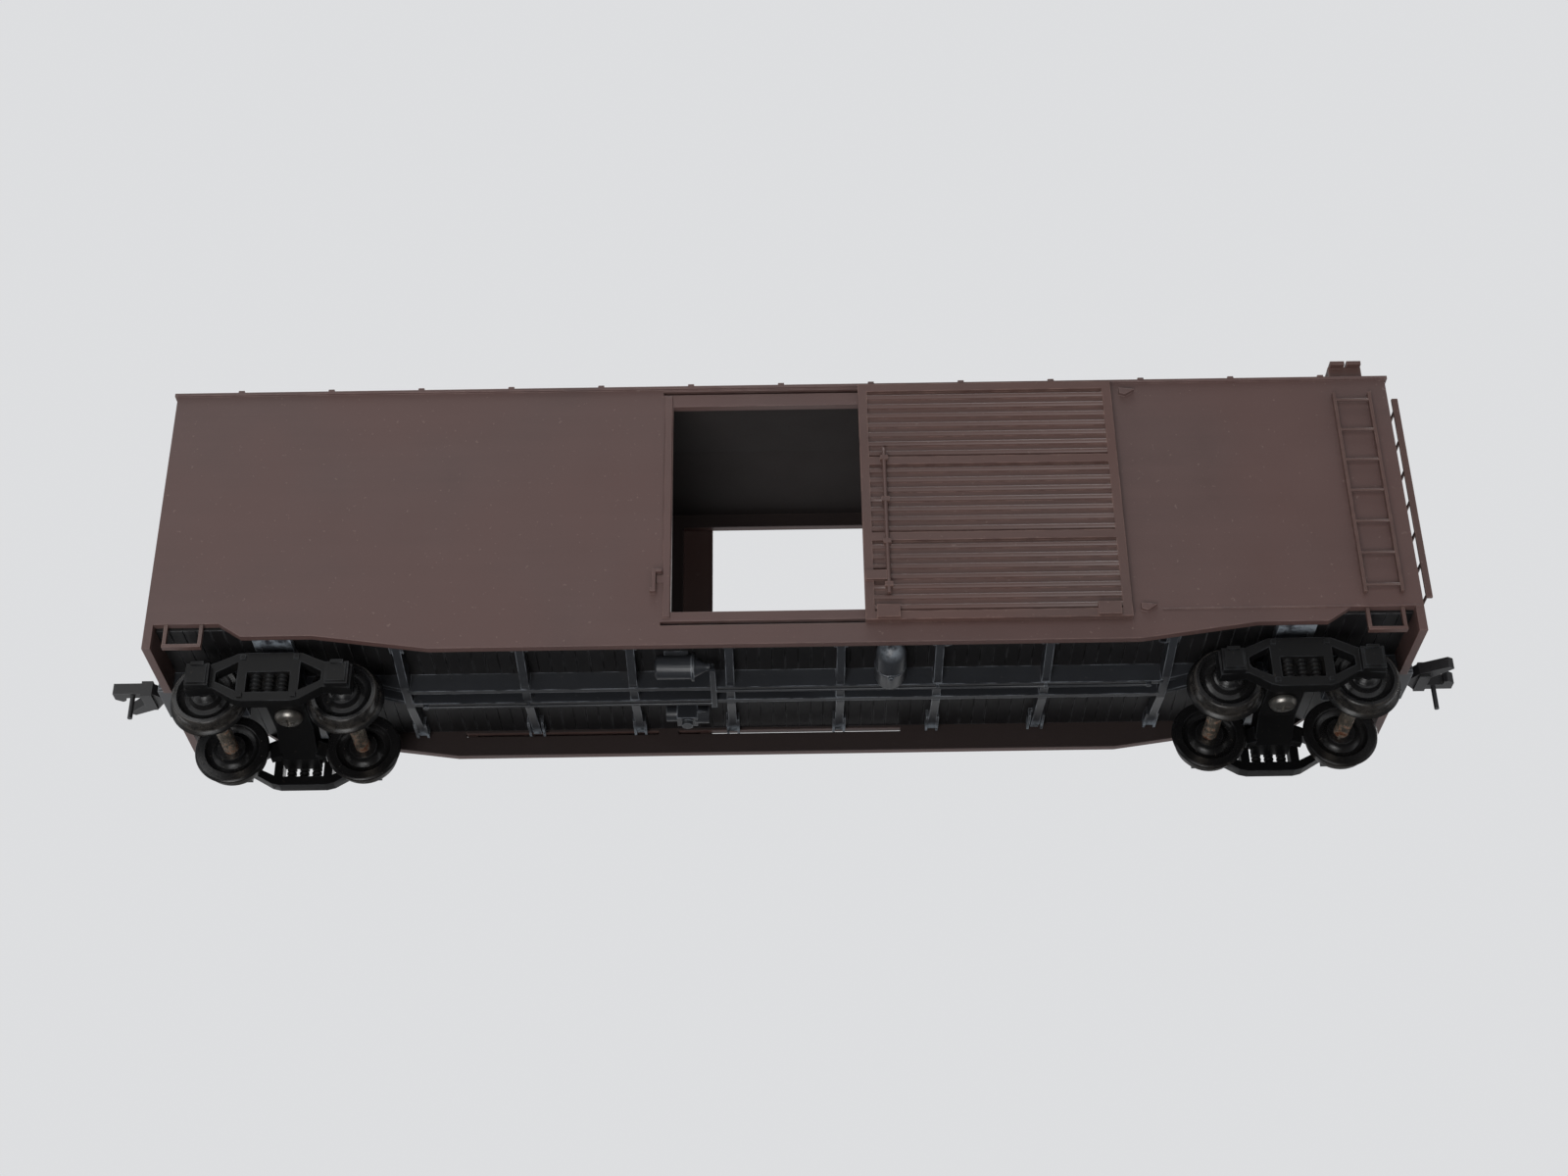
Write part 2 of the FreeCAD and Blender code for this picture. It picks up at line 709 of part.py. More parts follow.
# ---------------------------------------------------------------- brake gear under the floor
def brake_gear():
    """Air reservoir, brake cylinder, control valve, and the lever and rods between the trucks."""
    tank_x, tank_z = "((bearer_near + bearer_mid) / 2)", "floor_low - tank_drop"
    tank_side = [
        ("tank_half", "0"), ("tank_half - 0.1", "0.7"), ("tank_half - 0.7", "1.45"),
        ("tank_half - 1.5", "tank_radius - 0.2"), ("tank_half - 2.3", "tank_radius"),
        ("0.25", "tank_radius"), ("0.15", "tank_radius + 0.12"),
    ]
    tank = [
        spun("tank", mirrored(tank_side), (tank_x, "-tank_side", tank_z)),
        rod("tank_drain", (tank_x, "-tank_side", f"{tank_z} - tank_radius - 0.45"), "0.4", "1"),
        centred("tank_foot_near", tank_x, "-tank_side - 2.2", tank_z, ("1.4", "0.8", "tank_drop")),
        centred("tank_foot_far", tank_x, "-tank_side + 2.2", tank_z, ("1.4", "0.8", "tank_drop")),
    ]
    keep("air_reservoir", join("air_reservoir", tank))

    push = "4.2"
    quarter = FreeCAD.Rotation(FreeCAD.Vector(0, 0, 1), -90)
    barrel = [
        ("-3.6", "0"), ("-3.6", "1.25"), ("-3.3", "1.7"), ("1.6", "1.7"), ("1.6", "2.0"), ("2.0", "2.0"),
        ("2.0", "1.5"), ("3.6", "0.6"), (push, "0.55"), (push, "0"),
    ]
    cylinder = [
        spun("barrel", barrel, (f"-{tank_x}", "-cylinder_side", "floor_low - cylinder_drop"), quarter),
        centred("cylinder_saddle", f"-{tank_x} - 0.6", "-cylinder_side", "floor_low - cylinder_drop",
                ("3.4", "1.6", "cylinder_drop")),
    ]
    keep("brake_cylinder", join("brake_cylinder", cylinder))

    valve_x, valve_y = f"(-{tank_x} + 0.4)", "wheel_back"
    valve = [
        centred("valve_block", valve_x, valve_y, "floor_low - 3.4", ("3.0", "2.6", "3.4")),
        rod("valve_left", (f"{valve_x} - 3.1", valve_y, "floor_low - 2.0"), "1.15", "2", "x"),
        rod("valve_right", (f"{valve_x} + 1.1", valve_y, "floor_low - 2.2"), "1.3", "2.1", "x"),
        rod("valve_cap", (valve_x, valve_y, "floor_low - 4.1"), "0.8", "1"),
    ]
    keep("control_valve", join("control_valve", valve))

    # the lever stands at the cylinder's push rod, and a rod under each centre sill goes from it to a truck
    lever_x, far_eye, rod_z = f"(-{tank_x} + {push} + 0.35)", "(bearer_far - 2.4)", "rod_low + rod_radius"
    rods = [
        block(
            "lever", (f"{lever_x} - 0.4", "-cylinder_side - 0.8", "rod_low"),
            ("0.8", "cylinder_side + 3.6", "0.4"),
        ),
        rod("lever_pin", (lever_x, "-cylinder_side", "rod_low"), "0.3", "1.5"),
        rod("rod_long", (lever_x, "-rod_side", rod_z), "rod_radius", f"{far_eye} - {lever_x}", "x"),
        rod("rod_short", (f"-{far_eye}", "rod_side", rod_z), "rod_radius", f"{far_eye} + {lever_x}", "x"),
    ]
    for name, x, y in (
        ("a", far_eye, "-rod_side"), ("b", f"-{far_eye}", "rod_side"), ("lever", lever_x, "-rod_side")
    ):
        rods.append(rod(f"rod_eye_{name}", (x, y, "rod_low"), "0.4", "rod_drop"))
    for name, x, y in (("mid", "bearer_mid", "-rod_side"), ("wide", "bearer_wide", "-rod_side"),
                       ("back", "-bearer_wide", "rod_side")):
        rods.append(centred(f"rod_hanger_{name}", x, y, "rod_low", ("0.4", "0.8", "rod_drop")))
    keep("brake_rods", join("brake_rods", rods))


# ---------------------------------------------------------------- trucks
def over_axle(rise):
    return f"axle_z + ({rise})"


def truck_side(name, inner_face, outward):
    """One side frame: an arch over both axles, a window either side of the springs, two journal lids."""
    axle = "(wheel_base / 2)"
    outline = mirrored(
        [
            ("3.4", over_axle("-frame_drop")), ("4.6", over_axle("0.3 - frame_drop")),
            (f"{axle} - 2.0", over_axle("-1.45")), (f"{axle} + 1.8", over_axle("-1.75")),
            (f"{axle} + 1.9", over_axle("1.95")), (f"{axle} - 1.6", over_axle("2.25")),
            ("4.4", over_axle("frame_rise - 0.1")), ("3.0", over_axle("frame_rise")),
        ]
    )
    gaps = [
        block(
            f"{name}_nest", ("-3.0", f"{inner_face} - 0.5", over_axle("-2.15")),
            ("6.0", "frame_thick + 1", "3.1"),
        )
    ]
    for hand, s in (("a", "1"), ("b", "-1")):
        window = [(f"{s} * 4.3", over_axle("-1.95")), (f"{s} * ({axle} - 2.3)", over_axle("-0.45")),
                  (f"{s} * ({axle} - 2.3)", over_axle("0.95")), (f"{s} * 4.3", over_axle("2.55"))]
        gaps.append(plate(f"{name}_window_{hand}", "XZ", window, f"{inner_face} - 0.5", "frame_thick + 1"))
    made = [less(f"{name}_web", plate(name, "XZ", outline, inner_face, "frame_thick"), gaps)]
    for i in (-1, 0, 1):
        made.append(coil(f"{name}_coil_{i + 1}", f"{i} * 1.85", f"{inner_face} + frame_thick / 2"))

    def standing(label, x, z, start, size):
        """A block on the frame's outer face, start out from it."""
        y = f"frame_outer + {start}" if outward == 1 else f"-frame_outer - ({start}) - ({size[1]})"
        return block(f"{name}_{label}", (f"{x} - ({size[0]}) / 2", y, z), size)

    for hand, s in (("a", "1"), ("b", "-1")):
        x = f"{s} * {axle}"
        made.append(
            standing(
                f"journal_{hand}", x, over_axle("-1.55"), "0", ("journal_width", "journal_proud", "3.4")
            )
        )
        made.append(
            standing(
                f"lid_{hand}", x, over_axle("-1.25"), "journal_proud",
                ("journal_width - 0.6", "lid_proud", "2.8"),
            )
        )
        made.append(
            standing(
                f"hinge_{hand}", x, over_axle("1.4"), "journal_proud",
                ("journal_width - 1.4", "0.5", "0.5"),
            )
        )
        made.append(
            standing(f"rivet_low_{hand}", f"{s} * 3.7", over_axle("-3.0"), "0", ("0.7", "0.25", "0.7"))
        )
        made.append(
            standing(f"rivet_high_{hand}", f"{s} * 3.7", over_axle("2.9"), "0", ("0.7", "0.25", "0.7"))
        )
    return made


def coil(name, x, y):
    """A moulded coil spring: a stack of rounded turns."""
    turns, pitch = 5, 0.66
    corners = [("0", "0"), ("0.45", "0")]
    for i in range(turns):
        corners += [("0.72", i * pitch + 0.16), ("0.72", i * pitch + 0.44), ("0.45", (i + 1) * pitch)]
    corners.append(("0", turns * pitch))
    return spun(name, corners, (x, y, over_axle("-2.25")), axis="V_Axis", plane="XZ")


def truck_frame(node, end):
    """Bolster, both side frames and the brake shoes in one springy moulding."""
    solid = truck_side(f"{node}_near", "-frame_outer", -1) + truck_side(f"{node}_far", "frame_inner", 1)
    cuts = [rod(f"{node}_screw_way", ("0", "0", "0"), "screw_radius + screw_play", "20")]
    # each bearing is a straight mouth and a cone behind it, in which the pointed stub turns
    mouth, thin = "stub_radius + bearing_gap", "0.15 + bearing_gap"
    depth = "axle_tip + bearing_gap - frame_inner - 0.4"
    for hand, s in (("a", "1"), ("b", "-1")):
        x = f"{s} * wheel_base / 2"
        cuts += [
            rod(f"{node}_mouth_near_{hand}", (x, "-frame_inner - 0.4", "axle_z"), mouth, "0.9", "y"),
            rod(f"{node}_mouth_far_{hand}", (x, "frame_inner - 0.5", "axle_z"), mouth, "0.9", "y"),
            cone(
                f"{node}_cup_near_{hand}", (x, f"-frame_inner - 0.4 - ({depth})", "axle_z"), thin, mouth,
                depth, "y",
            ),
            cone(f"{node}_cup_far_{hand}", (x, "frame_inner + 0.4", "axle_z"), mouth, thin, depth, "y"),
        ]
        tread = "(wheel_base / 2 - tread_radius - shoe_gap)"
        shoe = [
            (f"{s} * (bolster_half - 0.2)", over_axle("-0.75")), (f"{s} * {tread}", over_axle("-1.15")),
            (f"{s} * ({tread} + 0.25)", over_axle("0.95")),
            (f"{s} * (bolster_half - 0.2)", over_axle("1.75")),
        ]
        for side, y in (("near", "-wheel_face + 0.3"), ("far", "wheel_face - 1.8")):
            solid.append(plate(f"{node}_shoe_{side}_{hand}", "XZ", shoe, y, "1.5"))
    bolster = mirrored(
        [
            ("4.6", "bolster_low"), ("9.4", over_axle("-0.85")),
            ("frame_inner + 0.3", over_axle("-0.85")), ("frame_inner + 0.3", "bolster_top - 1"),
            ("10.2", "bolster_top - 1"), ("6.6", "bolster_top"),
        ]
    )
    solid.append(plate(f"{node}_bolster", "YZ", bolster, "-bolster_half", "2 * bolster_half"))
    solid.append(rod(f"{node}_boss", ("0", "0", "bolster_top - 0.5"), "boss_radius", "boss_rise + 0.5"))
    frame = less(node, join(f"{node}_solid", solid), cuts)
    return keep(node, place(frame, (f"{end} * truck_centre", "0", "0")))


def truck_screw(node, x):
    """A pan head screw up through the truck into the body bolster's boss, with a cross recess."""
    head_low = "bolster_low - swivel_gap - screw_head_height"
    dome = [
        ("0", "0"), ("0", "1.1"), ("0.25", "1.65"), ("0.6", "screw_head_radius - 0.1"),
        ("0.85", "screw_head_radius"), ("screw_head_height", "screw_head_radius"),
        ("screw_head_height", "0"),
    ]
    upright = FreeCAD.Rotation(FreeCAD.Vector(1, 0, 0), 90)
    solid = [
        spun(f"{node}_head", dome, (x, "0", head_low), upright),
        rod(
            f"{node}_shank", (x, "0", f"{head_low} + 0.6"), "screw_radius",
            "screw_length + screw_head_height - 0.6",
        ),
    ]
    recess = [centred(f"{node}_cross_{i}", x, "0", f"{head_low} - 0.1", size)
              for i, size in enumerate((("2.0", "0.45", "0.7"), ("0.45", "2.0", "0.7")))]
    keep(node, less(node, join(f"{node}_solid", solid), recess))


WHEEL_PROFILE = [
    ("wheel_face - axle_recess", "0"), ("wheel_face - axle_recess", "axle_radius"),
    ("wheel_back - 0.35", "axle_radius"), ("wheel_back - 0.35", "hub_radius"),
    ("wheel_back + 0.35", "hub_radius + 0.35"), ("wheel_back + 0.75", "hub_radius + 1.0"),
    ("wheel_back + 0.5", "tread_radius - 1.2"), ("wheel_back", "tread_radius - 0.8"),
    ("wheel_back", "flange_radius - 0.35"), ("wheel_back + 0.12", "flange_radius - 0.1"),
    ("wheel_back + 0.33", "flange_radius"), ("wheel_back + 0.52", "flange_radius - 0.1"),
    ("wheel_back + 0.68", "tread_radius + 0.25"), ("wheel_back + 0.95", "tread_radius + 0.02"),
    ("wheel_face - 0.2", "tread_radius - 0.07"), ("wheel_face", "tread_radius - 0.25"),
    ("wheel_face", "tread_radius - 0.8"), ("wheel_face - 0.45", "tread_radius - 1.05"),
    ("wheel_face - 0.85", "hub_radius + 1.0"), ("wheel_face - 0.6", "hub_radius + 0.4"),
    ("wheel_face + 0.25", "hub_radius"), ("wheel_face + 0.3", "hub_radius - 0.3"),
    ("wheel_face + 0.7", "stub_radius + 0.3"), ("wheel_face + 0.9", "stub_radius"),
    ("frame_inner + 0.3", "stub_radius"), ("axle_tip", "0.15"), ("axle_tip", "0"),
]


def wheelset(label, x):
    """Two moulded wheels with pointed stubs, pressed on a bare steel axle."""
    reach = "(wheel_face - axle_recess)"
    keep(f"wheel_{label}_far", spun(f"wheel_{label}_far", WHEEL_PROFILE, (x, "0", "axle_z")))
    keep(f"wheel_{label}_near", spun(f"wheel_{label}_near", WHEEL_PROFILE, (x, "0", "axle_z"), HALF_TURN))
    keep(
        f"axle_{label}",
        rod(f"axle_{label}", (x, f"-{reach}", "axle_z"), "axle_radius", f"2 * {reach}", "y"),
    )


# ---------------------------------------------------------------- couplers
def coupler(node):
    """The +X coupler: an eye on the pocket's pin, a flat shank, a hook on one side and a sloping horn."""
    low, throat = "(pocket_middle - coupler_thick / 2)", "(pocket_front + 1.6)"
    nose = f"({throat} - 1.6 + coupler_reach)"
    corners = [
        ("pin_place", "-shank_half"), (f"{throat} - 1.2", "-shank_half"), (f"{throat} - 0.2", "-2.5"),
        (f"{nose} - 1.8", "-4.4"), (f"{nose} - 1.0", "-3.9"), (f"{throat} + 1.5", "-1.1"),
        (f"{throat} + 1.5", "0.9"), (f"{nose} - 1.5", "0.9"), (f"{nose} - 1.5", "0.1"),
        (f"{nose} - 1.0", "-0.2"), (nose, "0.5"), (nose, "2.2"), (f"{throat} - 0.2", "2.2"),
        (f"{throat} - 1.2", "shank_half"), ("pin_place", "shank_half"),
    ]
    solid = [
        plate(f"{node}_shank", "XY", corners, low, "coupler_thick"),
        block(
            f"{node}_head", (f"{throat} - 0.2", "-2.2", f"{low} - 0.35"),
            ("1.6", "4.4", "coupler_thick + 0.7"),
        ),
        rod(f"{node}_eye", ("pin_place", "0", low), "eye_radius", "coupler_thick"),
        rod(f"{node}_trip", (f"{throat} + 2.6", "1.5", f"{low} - 3.6"), "0.35", "4"),
    ]
    hole = rod(
        f"{node}_hole", ("pin_place", "0", f"{low} - 1"), "pin_radius + eye_play", "coupler_thick + 2"
    )
    return keep(node, less(node, join(f"{node}_solid", solid), [hole]))


def coupler_spring(node):
    """A thin bronze leaf bent round the back of the eye, with an arm each side of the shank."""
    low, back = "pocket_middle - spring_height / 2", "(pocket_start + pocket_wall + 0.05)"
    reach = "pocket_inner - spring_thick - 0.45"
    made = [block(f"{node}_base", (back, f"-({reach} + spring_thick)", low),
                  ("spring_thick", f"2 * ({reach} + spring_thick)", "spring_height"))]
    for side, y in (("near", f"-({reach} + spring_thick)"), ("far", reach)):
        made.append(
            block(
                f"{node}_arm_{side}", (back, y, low),
                ("eye_radius + 5.4", "spring_thick", "spring_height"),
            )
        )
    return keep(node, join(node, made))


def pocket_lid(node):
    """The plate that closes a coupler pocket from below."""
    sheet_metal = block(f"{node}_sheet", ("pocket_start", "-pocket_side", "pocket_low - lid_thick"),
                        ("pocket_front - pocket_start", "2 * pocket_side", "lid_thick"))
    hole = rod(
        f"{node}_hole", ("pin_place", "0", "pocket_low - lid_thick - 1"),
        "lid_screw_radius + lid_screw_play", "lid_thick + 2",
    )
    return keep(node, less(node, sheet_metal, [hole]))


def lid_screw(node):
    """The small screw that holds a pocket lid to its pin."""
    head_low = "(pocket_low - lid_thick - 0.55)"
    dome = [("0", "0"), ("0", "0.6"), ("0.3", "0.95"), ("0.55", "1.05"), ("0.55", "0")]
    upright = FreeCAD.Rotation(FreeCAD.Vector(1, 0, 0), 90)
    solid = [
        spun(f"{node}_head", dome, ("pin_place", "0", head_low), upright),
        rod(
            f"{node}_shank", ("pin_place", "0", f"{head_low} + 0.25"), "lid_screw_radius",
            "pocket_room + lid_thick - 0.2",
        ),
    ]
    slot = centred(f"{node}_slot", "pin_place", "0", f"{head_low} - 0.1", ("2.4", "0.25", "0.35"))
    return keep(node, less(node, join(f"{node}_solid", solid), [slot]))


# ---------------------------------------------------------------- roof walk, ladders, steps, hand brake
def running_board():
    """Three planks along the roof on saddles, with a short walk out to each side ladder."""
    solid = []
    for i in (-1, 0, 1):
        solid.append(centred(f"plank_{i + 1}", "0", f"{i} * (board_plank + board_gap)", "board_low",
                             ("body_length + 2 * board_over", "board_plank", "board_thick")))
    count = int(number("seam_count"))
    for i in range(count):
        solid.append(centred(f"saddle_{i}", f"{i - (count - 1) / 2} * seam_pitch", "0", "seam_top",
                             ("saddle_width", "board_width", "saddle_rise + board_thick / 2")))
    for name, x in (("a", "body_end + 0.5"), ("b", "-body_end - 0.5")):
        solid.append(centred(f"saddle_{name}", x, "0", "board_low - 0.35",
                             ("saddle_width", "board_width", "board_thick / 2 + 0.35")))
    walk = []
    for name, offset in (("left", "-board_plank - board_gap / 2"), ("right", "board_gap / 2")):
        walk.append(block(f"walk_{name}", (f"ladder_place + {offset}", "-roof_side", "board_low"),
                          ("board_plank", "roof_side - board_width / 2 + 0.1", "board_thick")))
    for name, y in (("out", "-body_side + 1.2"), ("in", "-body_side + 8")):
        walk.append(
            centred(
                f"walk_foot_{name}", "ladder_place", y, "slope_top",
                (
                    "2 * board_plank + 2 * board_gap", "saddle_width",
                    "board_low - slope_top + board_thick / 2",
                ),
            )
        )
    near = join("walk_near", walk)
    solid += [near, copy_turned("walk_far", near)]
    # the walks' feet stand on the sloping roof, so the roof's own form is taken off them
    roof = doc.getObject("body_shell")
    keep("running_board", less("running_board", join("board_solid", solid), [roof]))


def ladder(node, on_end):
    """Two stiles and their rungs: a side ladder stands on the -Y side, an end ladder on the +X end."""
    made = []
    half, rung = "ladder_width / 2", "ladder_width - stile_width"
    end_y = "(-body_side + ladder_inset + ladder_width / 2)"
    for side, offset in (("left", f"-{half}"), ("right", f"{half} - stile_width")):
        if on_end:
            made.append(block(f"{node}_{side}", ("end_face", f"{end_y} + {offset}", "ladder_low"),
                              ("ladder_depth", "stile_width", "ladder_height")))
        else:
            made.append(
                block(
                    f"{node}_{side}",
                    (f"ladder_place + {offset}", "-body_side - ladder_depth", "ladder_low"),
                    ("stile_width", "ladder_depth", "ladder_height"),
                )
            )
    for i in range(int(number("ladder_rungs"))):
        z = f"ladder_low + ladder_end + {i} * ladder_pitch"
        if on_end:
            foot, along = ("end_face + ladder_depth - 0.3", f"{end_y} - ({rung}) / 2", z), "y"
        else:
            foot, along = (f"ladder_place - ({rung}) / 2", "-body_side - ladder_depth + 0.3", z), "x"
        made.append(rod(f"{node}_rung_{i}", foot, "rung_radius", rung, along))
    return keep(node, join(node, made))


def sill_step(node, x):
    """A stirrup under one corner of the -Y side."""
    low, y = "step_top - step_drop", "-body_side + 0.15"
    made = [
        block(
            f"{node}_tread", (f"{x} - step_width / 2", f"{y} - 0.15", low),
            ("step_width", "0.9", "step_thick"),
        )
    ]
    for side, offset in (("left", "-step_width / 2"), ("right", "step_width / 2 - step_thick")):
        made.append(block(f"{node}_{side}", (f"{x} + {offset}", y, low), ("step_thick", "0.6", "step_drop")))
    return keep(node, join(node, made))


def hand_brake():
    """Brake wheel, its gear housing and the step below it, on the -X end."""
    wheel_x = "(-end_face - 2.9)"
    housing = [
        block(
            "housing_back", ("-end_face - 0.5", "brake_side - 1.9", "brake_z - 3.0"),
            ("0.5", "3.8", "5.2"),
        ),
        block(
            "housing_case", ("-end_face - 1.7", "brake_side - 1.4", "brake_z - 2.2"),
            ("1.4", "2.8", "3.8"),
        ),
        rod("housing_drum", ("-end_face - 2.0", "brake_side", "brake_z"), "1.2", "1.6", "x"),
    ]
    socket = rod(
        "housing_socket", ("-end_face - 3.0", "brake_side", "brake_z"), "brake_stem + brake_stem_play",
        "2.4", "x",
    )
    keep("brake_housing", less("brake_housing", join("housing_solid", housing), [socket]))
    wheel = [
        ring("brake_rim", (wheel_x, "brake_side", "brake_z"), "brake_wheel_radius", "brake_rim", "x"),
        rod("brake_hub", (f"{wheel_x} - 0.35", "brake_side", "brake_z"), "0.75", "0.9", "x"),
        rod("brake_stem", (f"{wheel_x} + 0.3", "brake_side", "brake_z"), "brake_stem", "1.9", "x"),
    ]
    spokes = int(number("brake_spokes"))
    for i in range(spokes):
        spoke = rod(f"brake_spoke_{i}", (wheel_x, "brake_side", "brake_z"), "0.2", "brake_wheel_radius")
        spoke.Placement.Rotation = FreeCAD.Rotation(FreeCAD.Vector(1, 0, 0), 360 / spokes * i)
        wheel.append(spoke)
    keep("brake_wheel", join("brake_wheel", wheel))
    board_z = "brake_z - brake_step_drop"
    step = [block("step_board", ("-end_face - 3.2", "brake_side - 4.5", board_z), ("3.2", "9.0", "0.45"))]
    for name, offset in (("near", "-3.6"), ("far", "3.1")):
        bracket = [("-end_face - 2.9", board_z), ("-end_face", board_z), ("-end_face", f"{board_z} - 2.6")]
        step.append(plate(f"step_bracket_{name}", "XZ", bracket, f"brake_side + {offset}", "0.5"))
    keep("brake_step", join("brake_step", step))


# ---------------------------------------------------------------- the whole car
def build():
    body_shell()
    keep("door_far", copy_turned("door_far", door("door_near")))
    floor()
    underframe()
    brake_gear()
    for end, sign in (("a", "1"), ("b", "-1")):
        truck_frame(f"truck_frame_{end}", sign)
        truck_screw(f"truck_screw_{end}", f"{sign} * truck_centre")
        for axle, s in (("front", "1"), ("rear", "-1")):
            wheelset(f"{end}_{axle}", f"{sign} * truck_centre + {s} * wheel_base / 2")
    for node, make in (("coupler", coupler), ("coupler_spring", coupler_spring), ("pocket_lid", pocket_lid),
                       ("lid_screw", lid_screw)):
        keep(node + "_b", copy_turned(node + "_b", make(node + "_a")))
    running_board()
    for node, on_end in (("side_ladder", False), ("end_ladder", True)):
        keep(node + "_b", copy_turned(node + "_b", ladder(node + "_a", on_end)))
    for hand, x in (("right", "ladder_place"), ("left", "-ladder_place")):
        step = sill_step(f"sill_step_near_{hand}", x)
        keep(f"sill_step_far_{hand}", copy_turned(f"sill_step_far_{hand}", step))
    hand_brake()


def check_and_write():
    """Stops if any object failed or any piece isn't sound, then writes one STEP file a piece."""
    doc.recompute()
    failed = [f"{thing.Name}: {thing.State}" for thing in doc.Objects
              if "Invalid" in thing.State or "Error" in thing.State]
    if failed:
        raise SystemExit("these objects failed: " + "; ".join(failed))
    for node, thing in pieces.items():
        if thing.Shape.isNull() or not thing.Shape.isValid() or not thing.Shape.Solids:
            raise SystemExit(f"{node} isn't a sound solid")
    os.makedirs("parts", exist_ok=True)
    for node, thing in pieces.items():
        thing.Shape.exportStep(f"parts/{node}.step")
        box = thing.Shape.BoundBox
        print(f"{node}: {len(thing.Shape.Solids)} solid(s), {thing.Shape.Volume:.2f} mm3, "
              f"x {box.XMin:.2f} {box.XMax:.2f}, y {box.YMin:.2f} {box.YMax:.2f}, "
              f"z {box.ZMin:.2f} {box.ZMax:.2f}")
    print(len(pieces), "pieces")


build()
check_and_write()
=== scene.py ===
# %% [markdown]
# # A 1:87 box car, finished in Blender
#
# The car comes out of the CAD program with every piece in its place: a brown moulded body, two ribbed
# doors, a black floor on an open underframe, and two trucks on steel axles. What is missing is what the
# eye reads as plastic and steel: soft edges, a skin with a little texture, dust, rubbed corners and rust.
# This notebook adds those things, one finish at a time.

import math

import bpy
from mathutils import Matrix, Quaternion, Vector


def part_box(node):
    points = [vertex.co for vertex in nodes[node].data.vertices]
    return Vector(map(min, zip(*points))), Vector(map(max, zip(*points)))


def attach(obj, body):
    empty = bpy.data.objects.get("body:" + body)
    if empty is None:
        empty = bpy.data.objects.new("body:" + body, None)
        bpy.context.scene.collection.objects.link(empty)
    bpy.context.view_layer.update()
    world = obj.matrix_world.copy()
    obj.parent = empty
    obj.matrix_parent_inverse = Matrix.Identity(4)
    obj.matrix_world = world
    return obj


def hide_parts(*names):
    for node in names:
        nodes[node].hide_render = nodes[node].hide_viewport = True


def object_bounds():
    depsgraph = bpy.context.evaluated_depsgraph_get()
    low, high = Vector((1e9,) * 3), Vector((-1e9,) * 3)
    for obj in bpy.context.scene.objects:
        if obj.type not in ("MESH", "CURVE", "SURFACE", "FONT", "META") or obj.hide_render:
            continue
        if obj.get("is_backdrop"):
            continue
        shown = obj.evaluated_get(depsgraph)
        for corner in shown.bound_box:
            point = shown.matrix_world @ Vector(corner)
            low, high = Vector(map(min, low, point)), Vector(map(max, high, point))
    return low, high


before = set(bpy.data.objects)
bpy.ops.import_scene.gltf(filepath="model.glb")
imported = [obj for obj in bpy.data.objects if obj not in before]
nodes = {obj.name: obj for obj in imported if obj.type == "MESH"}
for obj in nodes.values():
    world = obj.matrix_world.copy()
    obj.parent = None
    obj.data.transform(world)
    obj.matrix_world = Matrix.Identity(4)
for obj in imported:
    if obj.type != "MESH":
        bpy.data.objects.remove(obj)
cad_low, cad_high = (list(corner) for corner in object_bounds())
MM = 0.001


def box_mm(node):
    """The lowest and highest corners of a CAD piece, in millimetres."""
    return [Vector(corner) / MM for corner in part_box(node)]


car_low, car_high = Vector(cad_low) / MM, Vector(cad_high) / MM
print(len(nodes), "pieces; the car measures", [round(side, 1) for side in car_high - car_low], "mm")

# %% [markdown]
# ## The camera
#
# The car is looked at from one side and from below, because that shows the side, the sills and the whole
# running gear at once. A camera that only needs a direction and a target is easiest to make from vectors:
# stand back from the middle of the car along the direction, and turn the camera to look back. A lens of
# 52.7 mm on a 36 mm sensor draws a small model without the stretched corners of a wide lens.

# %% Point the camera at the car
LOOK = Vector((0.0, 0.863, 0.5045)).normalized()
ROLL = math.radians(-0.85)
STAND_BACK = 340
LENS = 52.7
SENSOR = 36.0
NEAREST = 5

camera_data = bpy.data.cameras.new("car camera")
camera_data.lens = LENS
camera_data.sensor_width = SENSOR
camera_data.clip_start = NEAREST * MM
camera = bpy.data.objects.new("car camera", camera_data)
bpy.context.scene.collection.objects.link(camera)
camera.location = ((car_low + car_high) / 2 - LOOK * STAND_BACK) * MM
camera.rotation_mode = "QUATERNION"
camera.rotation_quaternion = LOOK.to_track_quat("-Z", "Y") @ Quaternion((0, 0, 1), ROLL)
bpy.context.scene.camera = camera
print("the camera stands at", [round(along / MM) for along in camera.location], "mm")

# %% [markdown]
# ## Soft edges
#
# A CAD piece has perfectly sharp edges, and a real moulding never does: its corners are rounded by a
# tenth of a millimetre, and that thin rounding is what catches the light. The mesh from the CAD program
# has a separate set of points for each face, so they are welded first. A bevel that only takes edges of
# more than 35 degrees then leaves curved surfaces alone. Thin trim gets a smaller rounding than walls.

# %% Weld and bevel every piece
EDGE_WIDTHS = {
    "body_shell": 0.09,
    "door": 0.07,
    "underframe": 0.07,
    "truck_frame": 0.06,
    "wheel": 0.04,
    "coupler": 0.05,
    "steel_weight": 0.05,
}
FINE_EDGE = 0.035
WELD_WITHIN = 0.004
SHARP = math.radians(35)


def soften(piece, width):
    """Welds a piece's points and rounds its sharp edges, to a width in millimetres."""
    weld = piece.modifiers.new("weld", "WELD")
    weld.merge_threshold = WELD_WITHIN * MM
    bevel = piece.modifiers.new("soft edge", "BEVEL")
    bevel.width = width * MM
    bevel.segments = 2
    bevel.limit_method = "ANGLE"
    bevel.angle_limit = SHARP
    bevel.use_clamp_overlap = True
    bevel.harden_normals = True
    bevel.miter_outer = "MITER_ARC"


